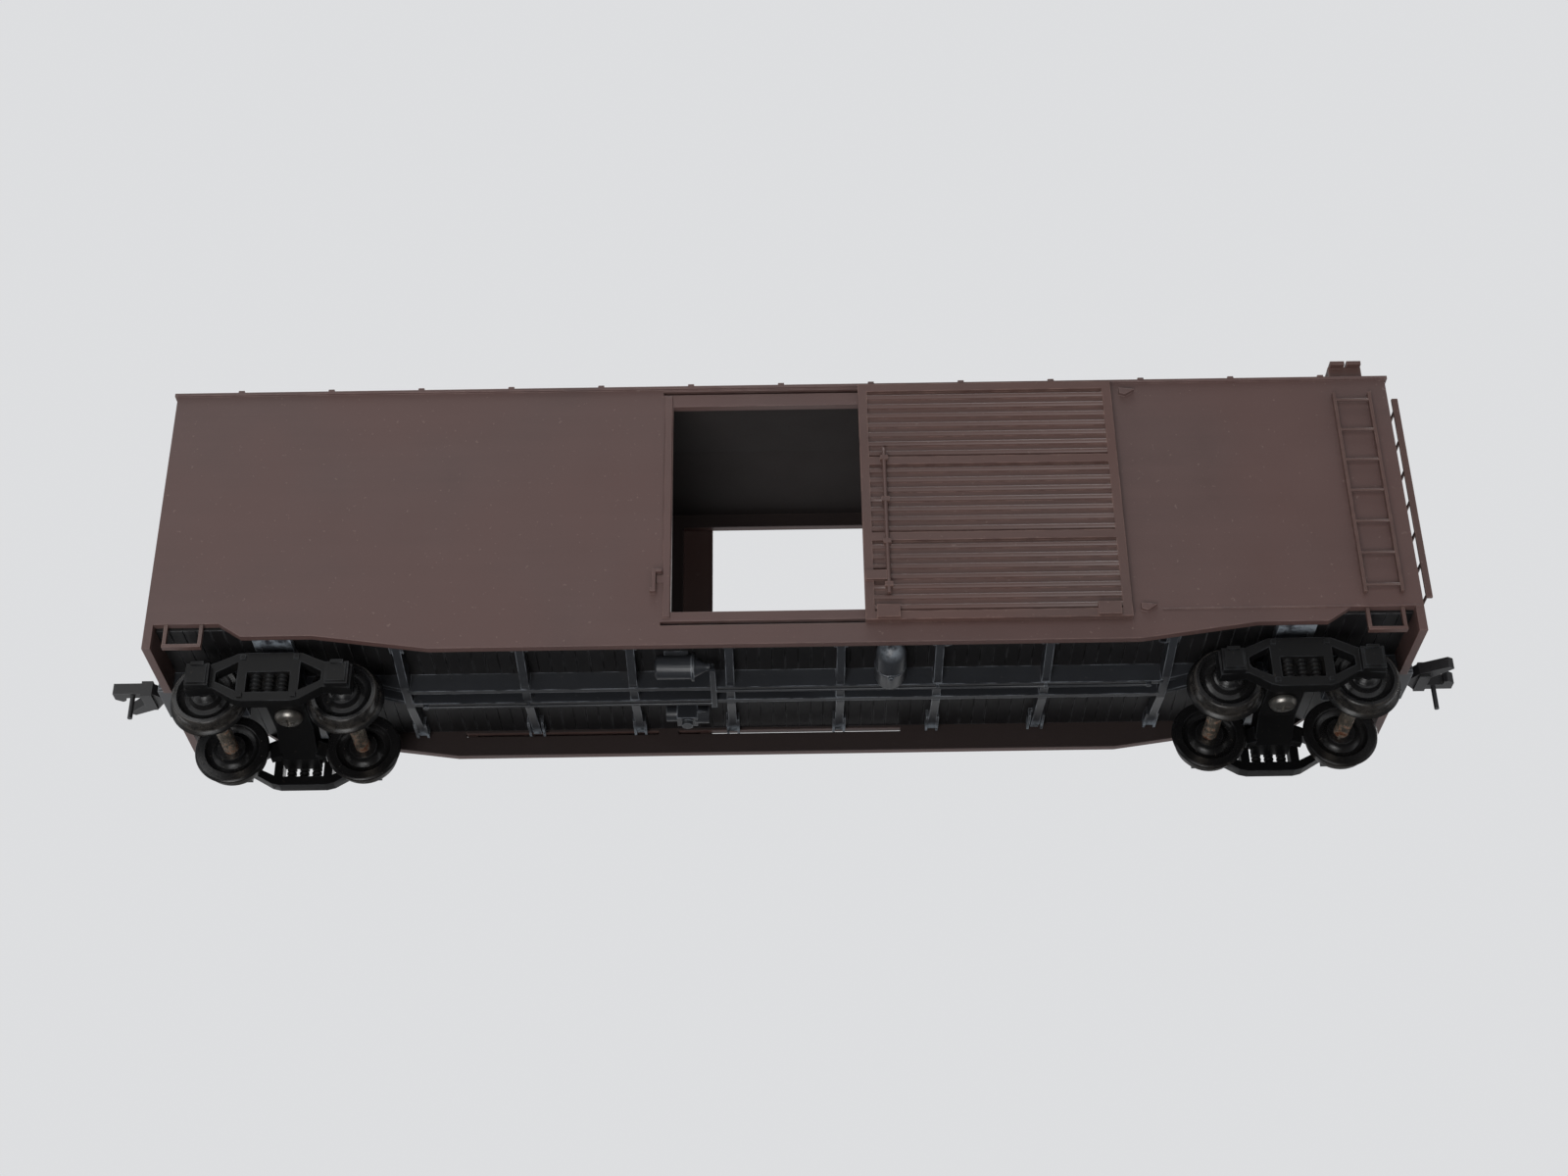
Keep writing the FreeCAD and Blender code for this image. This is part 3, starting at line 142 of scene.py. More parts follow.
for name, piece in nodes.items():
    widths = [width for start, width in EDGE_WIDTHS.items() if name.startswith(start)]
    soften(piece, widths[0] if widths else FINE_EDGE)
print("rounded the edges of", len(nodes), "pieces")

# %% [markdown]
# ## Arithmetic on sockets
#
# A material is a network of nodes, and a network is hard to read when it is written link by link. Here a
# socket is wrapped in a class that knows arithmetic. A mask can then be written as a formula, such as
# 1 - mask, and the Math nodes appear by themselves. The reflected forms, such as __rsub__, are what let a
# plain number stand on the left.


# %% Wrap a socket
class Flow:
    """A number, colour or vector that flows through a network. Arithmetic on it adds Math nodes."""

    def __init__(self, network, socket):
        self.network = network
        self.socket = socket

    def maths(self, operation, *terms):
        return self.network.add("ShaderNodeMath", {"operation": operation}, dict(enumerate(terms)))

    def __add__(self, other):
        return self.maths("ADD", self, other)

    __radd__ = __add__

    def __sub__(self, other):
        return self.maths("SUBTRACT", self, other)

    def __rsub__(self, other):
        return self.maths("SUBTRACT", other, self)

    def __mul__(self, other):
        return self.maths("MULTIPLY", self, other)

    __rmul__ = __mul__

    def __truediv__(self, other):
        return self.maths("DIVIDE", self, other)

    def __pow__(self, other):
        return self.maths("POWER", self, other)

    def __mod__(self, other):
        return self.maths("FLOORED_MODULO", self, other)

    def __floordiv__(self, other):
        return self.maths("FLOOR", self / other)

    def __abs__(self):
        return self.maths("ABSOLUTE", self)

    def most(self, other):
        return self.maths("MAXIMUM", self, other)

    def least(self, other):
        return self.maths("MINIMUM", self, other)

    def held(self):
        """The same, kept from 0 to 1."""
        return self.most(0.0).least(1.0)

    def over(self, low, high):
        """0 below low, 1 above high, and a soft step between them."""
        limits = {"Value": self, "From Min": low, "From Max": high, "To Min": 0.0, "To Max": 1.0}
        return self.network.add("ShaderNodeMapRange", {"interpolation_type": "SMOOTHSTEP"}, limits)


# %% [markdown]
# ## One way to make a node
#
# Everything that isn't arithmetic comes from one method, add, which takes the node's kind, its settings
# and its inputs, in that order, because some settings change which inputs there are. A finish is such a
# network with a Principled shader at its end. It also holds the place of the point being shaded, turned
# into millimetres on the car, so a pattern keeps its real size on every piece and moves with it.


# %% Networks and finishes
class Network:
    """The nodes of a material or of the surroundings."""

    def __init__(self, owner):
        owner.use_nodes = True
        self.tree = owner.node_tree

    def add(self, kind, settings, inputs, output=0):
        """One node: its settings first, then its inputs as values or flows. Gives one of its outputs."""
        node = self.tree.nodes.new(kind)
        for setting, value in settings.items():
            if setting == "stops":
                self.set_stops(node.color_ramp.elements, value)
            else:
                setattr(node, setting, value)
        for socket, value in inputs.items():
            self.feed(node.inputs[socket], value)
        return Flow(self, node.outputs[output])

    def set_stops(self, elements, stops):
        """Gives a colour ramp its places and colours."""
        while len(elements) < len(stops):
            elements.new(1.0)
        for element, (place, colour) in zip(elements, stops):
            element.position = place
            element.color = colour

    def feed(self, socket, value):
        """Links a flow to a socket, or sets the socket to a plain value."""
        if isinstance(value, Flow):
            self.tree.links.new(value.socket, socket)
        else:
            socket.default_value = value

    def end_in(self, last, surface):
        """Feeds the surface of the output node, which has the name last."""
        self.feed(self.tree.nodes[last].inputs["Surface"], surface)


class Finish(Network):
    """A material whose patterns are measured in millimetres on the car."""

    def __init__(self, name):
        self.material = bpy.data.materials.new(name)
        super().__init__(self.material)
        self.shader = self.tree.nodes["Principled BSDF"]
        metres = self.add("ShaderNodeTexCoord", {}, {}, "Object")
        to_mm = {0: metres, "Scale": 1 / MM}
        self.place = self.add("ShaderNodeVectorMath", {"operation": "SCALE"}, to_mm)
        parts = [self.add("ShaderNodeSeparateXYZ", {}, {0: self.place}, axis) for axis in "XYZ"]
        self.x, self.y, self.z = parts

    def give(self, **sockets):
        """Feeds the shader's own sockets, by their names with underscores for spaces."""
        for name, value in sockets.items():
            self.feed(self.shader.inputs[name.replace("_", " ")], value)

    def given(self, name):
        """What a socket of the shader was fed, to build on."""
        return Flow(self, self.shader.inputs[name].links[0].from_socket)


# %% [markdown]
# ## Patterns
#
# Four patterns make every finish below. Noise at two or three sizes gives uneven colour when it is large
# and weak, and a skin when it is small. Stretched noise gives streaks. The Bevel node tells how the
# surface would face if its edges were round, so the places where it turns are edges, and rubbing starts
# there. Ambient occlusion measures how open a point is, so where it is low is where dust settles.


# %% Colours and noise
def screen(red, green, blue):
    """A colour as a screen shows it, 0 to 255, turned into the light that a shader works in."""
    light = []
    for part in (red / 255, green / 255, blue / 255):
        light.append(part / 12.92 if part <= 0.04045 else ((part + 0.055) / 1.055) ** 2.4)
    return (*light, 1.0)


def shaded(colour, amount):
    """A colour made darker or lighter by a factor."""
    return (*(part * amount for part in colour[:3]), 1.0)


def mix(amount, one, other):
    """From colour one, where amount is 0, to colour other, where it is 1."""
    return amount.network.add("ShaderNodeMix", {"data_type": "RGBA"}, {0: amount, 6: one, 7: other}, 2)


def noise(finish, size, detail=3.0, rough=0.5, stretch=(1, 1, 1), seed=0.0):
    """Soft noise from 0 to 1, its spots about size millimetres across and stretched along X, Y and Z."""
    factors = tuple(1 / (size * along) for along in stretch)
    place = finish.add("ShaderNodeVectorMath", {"operation": "MULTIPLY"}, {0: finish.place, 1: factors})
    inputs = {"Vector": place, "W": seed, "Scale": 1.0, "Detail": detail, "Roughness": rough}
    return finish.add("ShaderNodeTexNoise", {"noise_dimensions": "4D"}, inputs)


# %% Edges, corners and skin
def edges(finish, radius):
    """1 along the edges and 0 on the flats, fading over a radius in millimetres."""
    rounded = finish.add("ShaderNodeBevel", {"samples": 6}, {"Radius": radius * MM})
    flat = finish.add("ShaderNodeNewGeometry", {}, {}, "Normal")
    both = {0: rounded, 1: flat}
    agree = finish.add("ShaderNodeVectorMath", {"operation": "DOT_PRODUCT"}, both, "Value")
    return (1 - agree).over(0.01, 0.18)


def corners(finish, reach):
    """1 in a corner and 0 in the open, looking as far as reach in millimetres."""
    openness = finish.add("ShaderNodeAmbientOcclusion", {"samples": 6}, {"Distance": reach * MM}, "AO")
    return (1 - openness).over(0.25, 0.9)


def skin(finish, height, depth):
    """Bumps the surface by a height of 0 to 1 that stands for depth millimetres."""
    inputs = {"Height": height, "Distance": depth * MM, "Strength": 1.0}
    finish.give(Normal=finish.add("ShaderNodeBump", {}, inputs))


def dress(finish, *starts):
    """Gives a finish to each CAD piece whose name begins with one of the starts."""
    dressed = [piece for name, piece in nodes.items() if name.startswith(starts)]
    for piece in dressed:
        piece.data.materials.clear()
        piece.data.materials.append(finish.material)
    print(finish.material.name, "on", len(dressed), "pieces")


# %% [markdown]
# ## Moulded plastic
#
# The body, the doors and all the black pieces are styrene or acetal, moulded in their own colour and
# never painted. Three things keep such plastic from looking like a computer's. The colour drifts between
# a darker and a warmer shade, because the pigment isn't mixed perfectly, and flow lines run away from the
# gate. The surface has a fine skin that breaks up reflections. Handling rubs the edges paler, scuffs the
# flats and leaves lint and dust. One recipe covers them all, with the amounts as its arguments.


# %% Its colour and its marks
RUBBED_REACH, DUST_REACH = 0.3, 2.0
SKIN_DEPTH = 0.015


def uneven_colour(plastic, colour, warm, drift, seed):
    """The plastic's own colour: streaks and grit between two shades, and wide clouds of a warmer one."""
    streak = noise(plastic, 1.0, detail=2, stretch=(30, 30, 1.6), seed=seed + 3)
    grit = noise(plastic, 0.3, detail=2, rough=0.7, seed=seed + 5)
    blotch = noise(plastic, 7, seed=seed + 2)
    uneven = (streak - 0.5) * 0.8 + (grit - 0.5) * 0.7 + (blotch - 0.5) * 1.2 + 0.5
    own = mix(uneven.held(), shaded(colour, 1 - drift), shaded(colour, 1 + drift))
    cloud = noise(plastic, 26, detail=2, seed=seed).over(0.35, 0.65)
    return mix(cloud * 0.6, own, warm)


def handling(plastic, wear, seed):
    """Two masks: where edges and flats are rubbed, and where dust and lint lie."""
    worn = edges(plastic, RUBBED_REACH) * noise(plastic, 2.6, detail=4, seed=seed + 11).over(0.38, 0.62)
    worn = worn * wear
    scuffs = noise(plastic, 1.0, rough=0.7, stretch=(3.5, 3.5, 0.35), seed=seed + 19).over(0.70, 0.80)
    settled = corners(plastic, DUST_REACH) * noise(plastic, 3.4, seed=seed + 13).over(0.3, 0.75)
    lint = noise(plastic, 0.55, detail=1, seed=seed + 7).over(0.70, 0.76)
    return (worn + scuffs * 0.22).held(), (settled * 0.3 + lint * 0.35).held()


# %% The recipe for moulded plastic
def moulded(name, colour, warm, rubbed, dusty, rough, drift=0.12, grain=0.5, wear=0.6, shine=0.5, seed=0):
    """Plastic of one colour. rough is its roughness, grain the depth of its skin, shine its gloss."""
    plastic = Finish(name)
    worn, dust = handling(plastic, wear, seed)
    base = mix(worn, uneven_colour(plastic, colour, warm, drift, seed), rubbed)
    fine = noise(plastic, 0.18, detail=2, seed=seed + 17)
    patchy = noise(plastic, 7, seed=seed + 2) - 0.5
    gloss = patchy * 0.16 + (fine - 0.5) * 0.12 + dust * 0.25 - worn * 0.1 + rough
    plastic.give(Base_Color=mix(dust, base, dusty), Roughness=gloss.held(), Specular_IOR_Level=shine)
    skin(plastic, fine, SKIN_DEPTH * grain)
    return plastic


# %% [markdown]
# ## Box car brown
#
# The body's brown is a dark red oxide with a grey cast. Its flat sides show the skin best, so this
# finish has the strongest grain and a satin roughness. The inside of the shell was never polished in the
# mould, so it is rougher, and its colour is painted nearly black: painted shade, for the shade that falls
# inside the closed box. A mask made from the place itself tells inside from outside: nearer the middle
# than the walls, and lower than halfway through the sloping roof.

# %% Brown body
brown_body = moulded(
    "brown body", screen(79, 60, 57), warm=screen(83, 59, 55), rubbed=screen(130, 105, 98),
    dusty=screen(122, 105, 98), rough=0.48, grain=0.75, wear=0.5, seed=1,
)

# %% The inside, painted dark as shade
ROOF_PITCH = 1.3 / 17.65
ROOF_DEPTH = 1.1
WALL_FADE, END_FADE, ROOF_FADE = 0.4, 0.2, 0.3

floor_low, floor_high = box_mm("floor")
ceiling = box_mm("body_shell")[1].z - ROOF_DEPTH
roof_height = brown_body.z + abs(brown_body.y) * ROOF_PITCH
inside_shade = 1 - abs(brown_body.y).over(floor_high.y, floor_high.y + WALL_FADE)
inside_shade = inside_shade * (1 - abs(brown_body.x).over(floor_high.x - 0.1, floor_high.x + END_FADE))
inside_shade = inside_shade * (1 - roof_height.over(ceiling, ceiling + ROOF_FADE))
# The near black inside is painted shade, not the plastic's own colour; the extra roughness is real.
brown_body.give(
    Base_Color=mix(inside_shade * 0.95, brown_body.given("Base Color"), screen(18, 12, 11)),
    Roughness=brown_body.given("Roughness") + inside_shade * 0.35,
)
dress(brown_body, "body_shell")
print("the inside ends at", [round(edge, 2) for edge in (floor_high.x, floor_high.y, ceiling)], "mm")

# %% [markdown]
# The doors come from another shot of plastic and are a shade redder. The small trim is a little
# glossier, because thin parts cool against polished steel.

# %% Doors and trim
brown_door = moulded(
    "brown door", screen(77, 58, 54), warm=screen(83, 57, 51), rubbed=screen(134, 106, 97),
    dusty=screen(120, 103, 95), rough=0.46, grain=0.65, wear=0.6, seed=40,
)
dress(brown_door, "door_")

brown_trim = moulded(
    "brown trim", screen(75, 57, 53), warm=screen(81, 58, 53), rubbed=screen(124, 99, 91),
    dusty=screen(114, 98, 91), rough=0.4, grain=0.4, wear=0.7, seed=80,
)
dress(
    brown_trim, "running_board", "side_ladder", "end_ladder", "sill_step",
    "brake_housing", "brake_wheel", "brake_step",
)

# %% [markdown]
# ## The underframe
#
# Black plastic shows its shape almost only by its edges and its gloss. The underframe is the greyest of
# the black pieces, with pale edges of a cool blue grey that are partly rubbed and partly a painted
# highlight, so its thin webs draw themselves as lines against the floor. The tips of the cross bearers
# stand out furthest and are painted palest, partly as rubbing and partly as a painted highlight, so a
# mask of the distance from the middle of the car, broken up by noise, is added there.

# %% Grey-black pieces under the floor
# The blue-grey edge colour is partly rubbed wear and partly a painted highlight.
grey_frame = moulded(
    "grey-black underframe", screen(46, 48, 52), warm=screen(38, 39, 42), rubbed=screen(136, 141, 148),
    dusty=screen(80, 78, 76), rough=0.36, drift=0.2, wear=0.95, seed=120,
)
frame_low, frame_high = box_mm("underframe")
PALE_TIP_REACH = 3.2
# Paler bearer tips: partly rubbed wear, partly a painted highlight.
tip_wear_and_highlight = abs(grey_frame.y).over(frame_high.y - PALE_TIP_REACH, frame_high.y - 0.6)
tip_wear_and_highlight = tip_wear_and_highlight * noise(grey_frame, 1.4, detail=4, rough=0.65, seed=131).over(0.34, 0.6) * 0.85
grey_frame.give(Base_Color=mix(tip_wear_and_highlight, grey_frame.given("Base Color"), screen(142, 150, 158)))
dress(
    grey_frame, "underframe", "pocket_lid",
    "air_reservoir", "brake_cylinder", "control_valve", "brake_rods",
)
print("the tips are rubbed over", PALE_TIP_REACH, "mm")

# %% [markdown]
# ## Pipe and hangers
#
# Under the near side of the floor runs a thin brake pipe, and two cross bearers carry a small wire loop
# beside their tips. They are moulded with the underframe and thinner than half a millimetre. A curve with
# a round profile is the easiest way to bend such a rod: a few points give the path, and a NURBS spline
# rounds the bends. The curve is then turned into a mesh, so that it is an ordinary piece.


# %% How to bend a rod
def bent_rod(name, path, thickness):
    """A round rod along a path of points in millimetres, moulded with the underframe."""
    curve = bpy.data.curves.new(name, "CURVE")
    curve.dimensions = "3D"
    curve.bevel_depth = thickness / 2 * MM
    curve.bevel_resolution = 3
    curve.use_fill_caps = True
    spline = curve.splines.new("NURBS")
    spline.points.add(len(path) - 1)
    for point, place in zip(spline.points, path):
        point.co = (*(Vector(place) * MM), 1.0)
    spline.order_u = 3
    spline.use_endpoint_u = True
    shaper = bpy.data.objects.new(name + "_shaper", curve)
    rod = bpy.data.objects.new(name, bpy.data.meshes.new_from_object(shaper))
    bpy.data.objects.remove(shaper)
    bpy.context.scene.collection.objects.link(rod)
    rod.data.materials.append(grey_frame.material)
    for face in rod.data.polygons:
        face.use_smooth = True
    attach(rod, "car")


# %% The brake pipe and two hangers
MID_BEARER, WIDE_BEARER, FAR_BEARER = 21.8, 37.3, 54.5
PIPE_WIDTH, PIPE_IN, PIPE_DOWN = 0.5, 3.0, 0.65
WIRE_WIDTH, WIRE_IN = 0.28, 2.8
HANGER_ROOT, HANGER_REACH, HANGER_LENGTH = 0.4, 1.75, 2.8

pipe_y = frame_low.y + PIPE_IN
pipe_z = frame_high.z - PIPE_DOWN
bent_rod("brake_pipe", [(-MID_BEARER, pipe_y, pipe_z), (-WIDE_BEARER, pipe_y, pipe_z)], PIPE_WIDTH)
for number, (bearer, side) in enumerate(((MID_BEARER, 1), (FAR_BEARER, -1)), start=1):
    root, out = bearer + side * HANGER_ROOT, bearer + side * HANGER_REACH
    start, middle, end = (frame_low.y + WIRE_IN + HANGER_LENGTH * share for share in (0, 0.5, 1))
    bends = [(root, start), (out, start), (out, middle), (out, end), (root, end)]
    bent_rod(f"pipe_hanger_{number}", [(x, y, pipe_z) for x, y in bends], WIRE_WIDTH)
print("a pipe and two hangers, at z", round(pipe_z, 2), "mm")

# %% [markdown]
# ## The boarded floor
#
# The floor is a flat panel scribed across, as if laid with boards. The CAD panel is smooth, so it is
# replaced by one with the grooves cut in: a row of columns, each as wide as a board or as half a V-shaped
# groove. The columns share their corners, so the top, the bottom and the sides close by themselves.

# %% Where the boards meet
BOARD = 1.85
GROOVE_WIDTH, GROOVE_DEPTH = 0.2, 0.1

floor_length = floor_high.x - floor_low.x
board_count = round(floor_length / BOARD)
board_pitch = floor_length / board_count
profile = [(floor_low.x, 0.0)]
for number in range(1, board_count):
    joint = floor_low.x + number * board_pitch
    profile += [(joint - GROOVE_WIDTH / 2, 0.0), (joint, GROOVE_DEPTH), (joint + GROOVE_WIDTH / 2, 0.0)]
profile.append((floor_high.x, 0.0))
print(board_count, "boards, each", round(board_pitch, 3), "mm wide")

# %% Build the panel
points, faces = [], [(3, 2, 1, 0)]
for x, cut in profile:
    low, high = floor_low.z + cut, floor_high.z - cut
    points += [(x, floor_low.y, low), (x, floor_high.y, low)]
    points += [(x, floor_high.y, high), (x, floor_low.y, high)]
for first in range(0, len(points) - 4, 4):
    for a, b in ((0, 1), (1, 2), (2, 3), (3, 0)):
        faces.append((first + a, first + b, first + 4 + b, first + 4 + a))
last = len(points) - 4
faces.append((last, last + 1, last + 2, last + 3))

panel = bpy.data.meshes.new("boarded_floor")
panel.from_pydata([Vector(point) * MM for point in points], [], faces)
boarded_floor = bpy.data.objects.new("boarded_floor", panel)
bpy.context.scene.collection.objects.link(boarded_floor)
soften(boarded_floor, FINE_EDGE)
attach(boarded_floor, "car")
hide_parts("floor")
print("the panel has", len(faces), "faces")

# %% [markdown]
# Real boards are never quite the same colour. A number for each board, from its place along the floor,
# goes through white noise, which turns it into a tone that has nothing to do with its neighbour's.

# %% A tone for each board
black_boards = moulded(
    "black boards", screen(21, 20, 21), warm=screen(18, 17, 17), rubbed=screen(104, 105, 108),
    dusty=screen(60, 57, 54), rough=0.45, drift=0.2, wear=0.9, shine=0.35, seed=160,
)
along = black_boards.x - floor_low.x
which = {"W": along // board_pitch}
tone = black_boards.add("ShaderNodeTexWhiteNoise", {"noise_dimensions": "1D"}, which, "Value")
across = along % board_pitch
groove = 1 - across.least(board_pitch - across).over(0.0, GROOVE_WIDTH / 2)
toned = mix(tone * 0.22, black_boards.given("Base Color"), screen(40, 40, 42))
black_boards.give(Base_Color=mix(groove, toned, screen(9, 9, 9)))
boarded_floor.data.materials.append(black_boards.material)
print("black boards on", boarded_floor.name)

# %% [markdown]
# ## Trucks and couplers
#
# These are acetal, a slippery plastic with a waxy, even sheen that no paint sticks to. It is deeper black
# than the underframe, reflects less, and has a weaker skin.

# %% Black trucks and couplers
black_truck = moulded(
    "black truck", screen(14, 14, 15), warm=screen(18, 18, 18), rubbed=screen(66, 68, 71),
    dusty=screen(62, 57, 52), rough=0.4, drift=0.2, grain=0.4, shine=0.22, seed=200,
)
dress(black_truck, "truck_frame")

black_coupler = moulded(
    "black coupler", screen(26, 26, 28), warm=screen(32, 31, 32), rubbed=screen(80, 80, 82),
    dusty=screen(76, 71, 66), rough=0.38, drift=0.2, grain=0.4, shine=0.4, seed=240,
)
dress(black_coupler, "coupler_a", "coupler_b")

# %% [markdown]
# ## Wheels
#
# A wheel is round, so its marks are rings about its own axle. The distance from the axle gives them: a
# fine ripple from the turned mould, and a greyed band where the tread has run on the rail. Each wheelset
# has its axle at another place along the car, so each gets the recipe with its own middle.


# %% The recipe for wheels
TREAD_INNER, TREAD_OUTER, PAST_FLANGE = (4.3, 4.55), (4.95, 5.15), (7.7, 8.0)


def wheel_plastic(name, axle, seed):
    """Glossy black plastic with rings about an axle, given by the middle of it in millimetres."""
    wheel = moulded(
        name, screen(19, 19, 20), warm=screen(25, 24, 24), rubbed=screen(70, 70, 73),
        dusty=screen(78, 72, 66), rough=0.24, drift=0.2, grain=0.25, wear=0.7, seed=seed,
    )
    from_axle_x, from_axle_z = wheel.x - axle.x, wheel.z - axle.z
    radius = (from_axle_x * from_axle_x + from_axle_z * from_axle_z) ** 0.5
    outwards = wheel.add("ShaderNodeCombineXYZ", {}, {0: radius * 9})
    rings = wheel.add("ShaderNodeTexNoise", {}, {"Vector": outwards, "Scale": 1.0, "Detail": 2.0})
    tread = radius.over(*TREAD_INNER) * (1 - radius.over(*TREAD_OUTER)) * abs(wheel.y).over(*PAST_FLANGE)
    run = tread * noise(wheel, 0.9, seed=5).over(0.25, 0.7) * 0.55
    wheel.give(Base_Color=mix(run, wheel.given("Base Color"), screen(74, 70, 66)))
    skin(wheel, rings, 0.012)
    return wheel


wheel_seed = 280
for end in ("a", "b"):
    for axle in ("front", "rear"):
        axle_low, axle_high = box_mm(f"axle_{end}_{axle}")
        turned = wheel_plastic(f"wheels {end} {axle}", (axle_low + axle_high) / 2, wheel_seed)
        dress(turned, f"wheel_{end}_{axle}")
        wheel_seed += 20

# %% [markdown]
# ## Bare steel
#
# The axles are cut from drawn steel rod with nothing to protect them, and years in a box have left brown
# spots. Rust isn't metal: where the mask says rust, the metallic part goes to zero, the surface goes
# rough, and a colour ramp runs from orange at the rim of a spot to dark brown in its middle. On the axles
# the rust gathers towards the wheels, where damp stays longest, so a ramp along the axle is added.


# %% The recipe for rusting steel
def rusting_steel(name, colour, rust, rough, spot=1.6, lay=(1, 1, 1), at_ends=0.0, seed=0):
    """Bare steel with a share of rust in spots about spot millimetres wide, and tool marks along lay."""
    steel = Finish(name)
    ragged = noise(steel, spot, detail=5, rough=0.65, seed=seed) * 0.75
    ragged = ragged + noise(steel, spot / 6, rough=0.7, seed=seed + 3) * 0.25
    ragged = ragged + abs(steel.y).over(2.5, 7.2) * at_ends
    shore = 0.66 - rust * 0.32
    spots = ragged.over(shore, shore + 0.09)
    drawn = noise(steel, 0.22, detail=2, stretch=lay, seed=seed + 7)

    tarnish = noise(steel, 3.5, seed=seed + 9).over(0.35, 0.75) * 0.45
    bare = mix(tarnish, mix(drawn, shaded(colour, 0.72), colour), screen(126, 112, 98))
    stops = [(0.0, screen(158, 106, 68)), (0.4, screen(122, 76, 50)), (1.0, screen(74, 48, 36))]
    heart = ragged.over(shore, shore + 0.2)
    rusted = steel.add("ShaderNodeValToRGB", {"stops": stops}, {"Fac": heart}, "Color")
    gloss = spots * 0.5 + drawn * 0.12 + rough
    steel.give(Base_Color=mix(spots, bare, rusted), Metallic=(1 - spots) * 0.9, Roughness=gloss)
    skin(steel, drawn * 0.35 + spots * 0.65, 0.015)
    return steel


# %% Axles, weight and screws
axle_steel = rusting_steel(
    "axle steel", screen(250, 238, 222), 0.4, 0.22, spot=1.1, lay=(1, 14, 1), at_ends=0.09, seed=11,
)
dress(axle_steel, "axle_")
weight_steel = rusting_steel(
    "weight steel", screen(136, 136, 138), 0.25, 0.36, spot=5.0, lay=(24, 1, 1), seed=23,
)
dress(weight_steel, "steel_weight")
screw_steel = rusting_steel("screw steel", screen(172, 170, 166), 0.18, 0.3, spot=0.9, seed=31)
dress(screw_steel, "truck_screw", "lid_screw")

# %% [markdown]
# ## Phosphor bronze
#
# The leaf springs behind the couplers are cut from thin bronze sheet. Bronze tarnishes evenly, so the
# colour only drifts between a bright and a browner bronze, with the rolling marks along the leaf.

# %% Bronze springs
bronze = Finish("spring bronze")
tarnish = noise(bronze, 1.8, detail=4, seed=2).over(0.3, 0.75)
rolled = noise(bronze, 0.2, detail=2, stretch=(12, 1, 1), seed=4)
bronze.give(
    Base_Color=mix(tarnish, screen(196, 140, 88), screen(128, 86, 52)),
    Metallic=1.0,
    Roughness=tarnish * 0.25 + rolled * 0.1 + 0.22,
)
skin(bronze, rolled, 0.006)
dress(bronze, "coupler_spring")

# %% [markdown]
# ## A floor that only shows from above
#
# The car stands on a plain pale floor. The main view looks up at the car from below that floor, so the
# floor has to be invisible from its underside. A one-sided floor does that: where a ray meets the back
# of the surface, the shader is transparent. Shadow rays pass as well, so the lamp below reaches the car.

# %% The one-sided floor
FLOOR_SIZE = 8.0

paper = bpy.data.materials.new("pale floor")
sheet = Network(paper)
matt = sheet.add("ShaderNodeBsdfDiffuse", {}, {"Color": screen(222, 223, 224)})
clear = sheet.add("ShaderNodeBsdfTransparent", {}, {})
from_below = sheet.add("ShaderNodeNewGeometry", {}, {}, "Backfacing")
lamp_ray = sheet.add("ShaderNodeLightPath", {}, {}, "Is Shadow Ray")
one_sided = sheet.add("ShaderNodeMixShader", {}, {0: from_below.most(lamp_ray), 1: matt, 2: clear})
sheet.end_in("Material Output", one_sided)

bpy.ops.mesh.primitive_plane_add(size=FLOOR_SIZE, location=(0, 0, cad_low[2]))
studio_floor = bpy.context.active_object
studio_floor.name = "studio_floor"
studio_floor.data.materials.append(paper)
studio_floor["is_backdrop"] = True
print("the floor lies at z", round(car_low.z, 2), "mm")

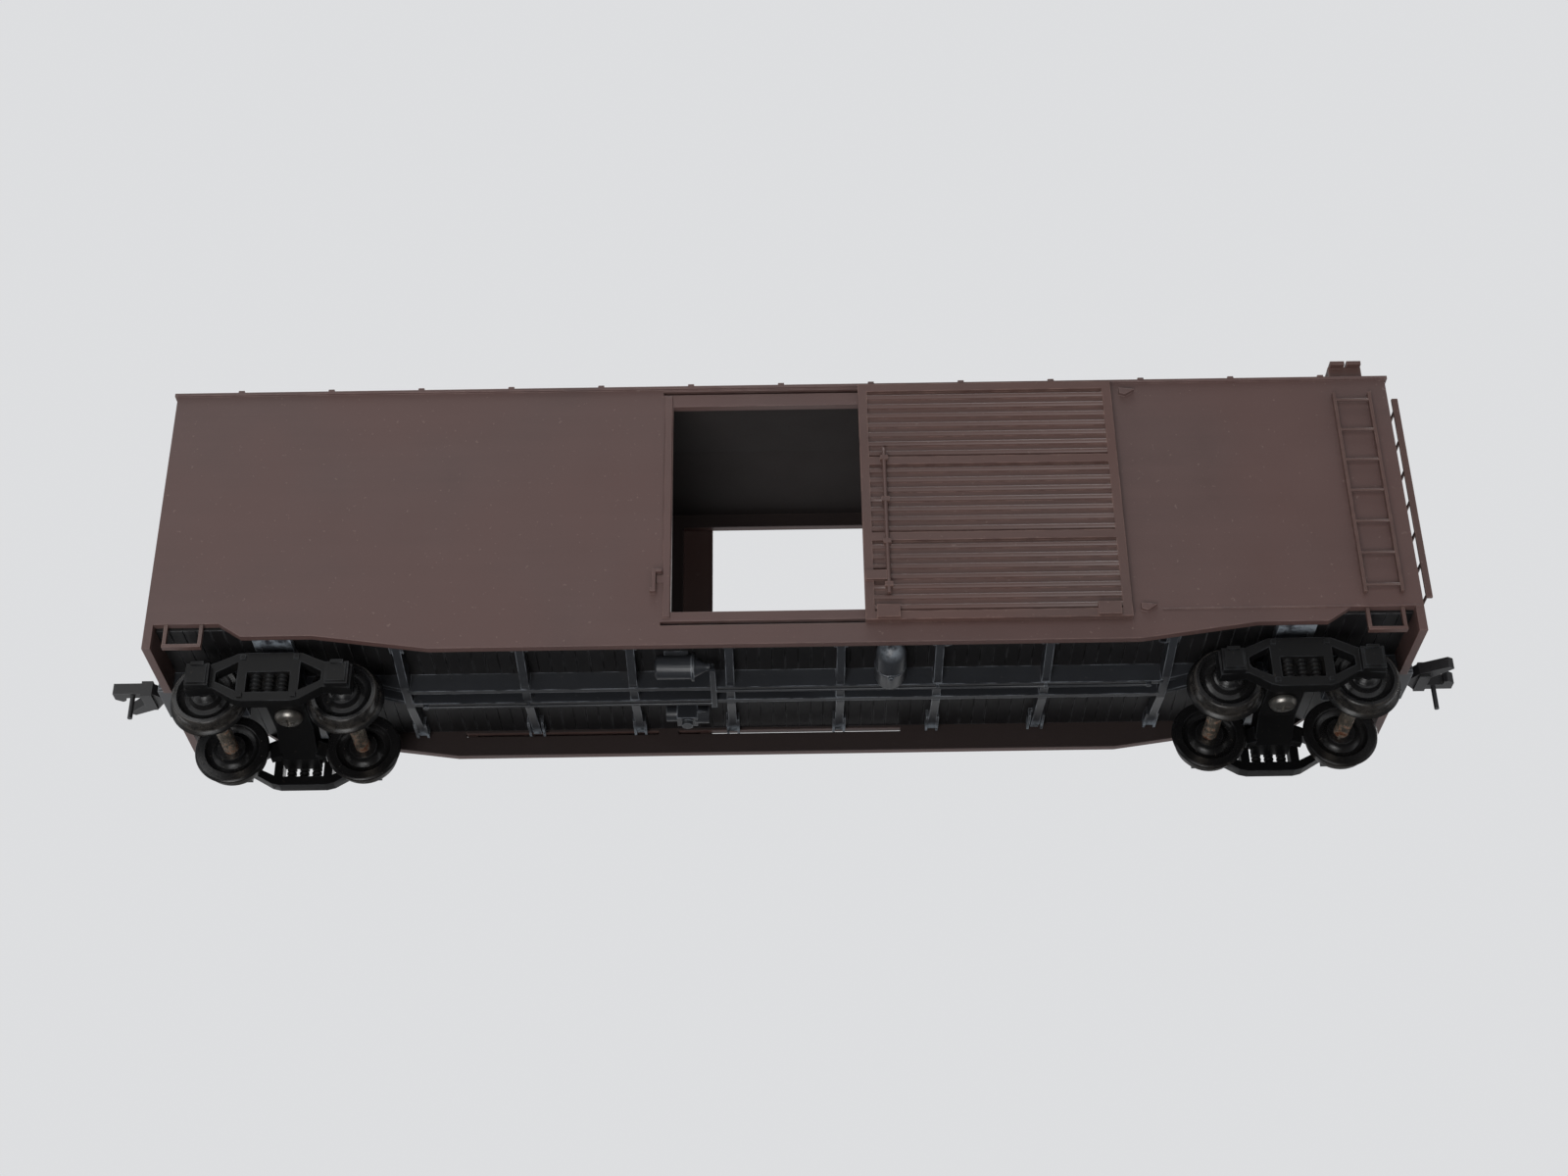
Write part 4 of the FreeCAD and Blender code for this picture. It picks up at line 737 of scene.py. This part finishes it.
# %% [markdown]
# ## Soft studio light
#
# Dark plastic needs broad lamps: each one shows as a long soft reflection, and the shape is read from
# where it bends. A soft box near the floor would leave a bright patch on it, so three of the lamps are
# suns with wide discs, which light a floor evenly: the ceiling, a weak one in front that opens up the
# side, and one behind that draws the roof. The fourth is a soft box under the car, which keeps the
# running gear out of the dark. The sky is paler to the eye than to the car, so that the lamps still
# shape the car.


# %% Lamps
CAR_MIDDLE = Vector((0, 0, 26))


def lamp(name, kind, power, settings, place):
    """A lamp at a place in millimetres, facing the middle of the car."""
    data = bpy.data.lights.new(name, kind)
    data.energy = power
    for setting, value in settings.items():
        setattr(data, setting, value)
    stand = bpy.data.objects.new(name, data)
    stand.location = Vector(place) * MM
    stand.rotation_euler = (CAR_MIDDLE - Vector(place)).to_track_quat("-Z", "Y").to_euler()
    bpy.context.scene.collection.objects.link(stand)
    print(name, "lamp, power", power)


lamp("ceiling", "SUN", 1.8, {"angle": math.radians(40)}, (-150, -120, 1006))
lamp("front", "SUN", 0.36, {"angle": math.radians(28)}, (-420, -1030, 356))
lamp("back", "SUN", 0.5, {"angle": math.radians(28)}, (460, 830, 586))
lamp("below", "AREA", 1.6, {"size": 240 * MM}, (-120, -380, -390))

# %% Surroundings
world = bpy.data.worlds.new("pale studio")
sky = Network(world)
PALE = screen(232, 233, 235)
ON_THE_CAR, TO_THE_EYE = 0.42, 0.9

felt = sky.add("ShaderNodeBackground", {}, {"Color": PALE, "Strength": ON_THE_CAR})
seen = sky.add("ShaderNodeBackground", {}, {"Color": PALE, "Strength": TO_THE_EYE})
eye_ray = sky.add("ShaderNodeLightPath", {}, {}, "Is Camera Ray")
sky.end_in("World Output", sky.add("ShaderNodeMixShader", {}, {0: eye_ray, 1: felt, 2: seen}))
bpy.context.scene.world = world
bpy.context.scene.view_settings.view_transform = "Standard"
print("the surroundings have strength", ON_THE_CAR, "on the car and", TO_THE_EYE, "to the eye")

# %% [markdown]
# ## Did the car grow?
#
# Finishing must not change the car's size, or it would no longer fit its track. The box round the
# finished car is compared with the box of the CAD pieces, and the difference is printed.

# %% Compare the sizes and finish
visual_low, visual_high = (list(corner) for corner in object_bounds())
growth = (Vector(visual_high) - Vector(visual_low)) / MM - (car_high - car_low)
print("the finished car differs from the CAD box by", [round(side, 3) for side in growth], "mm")
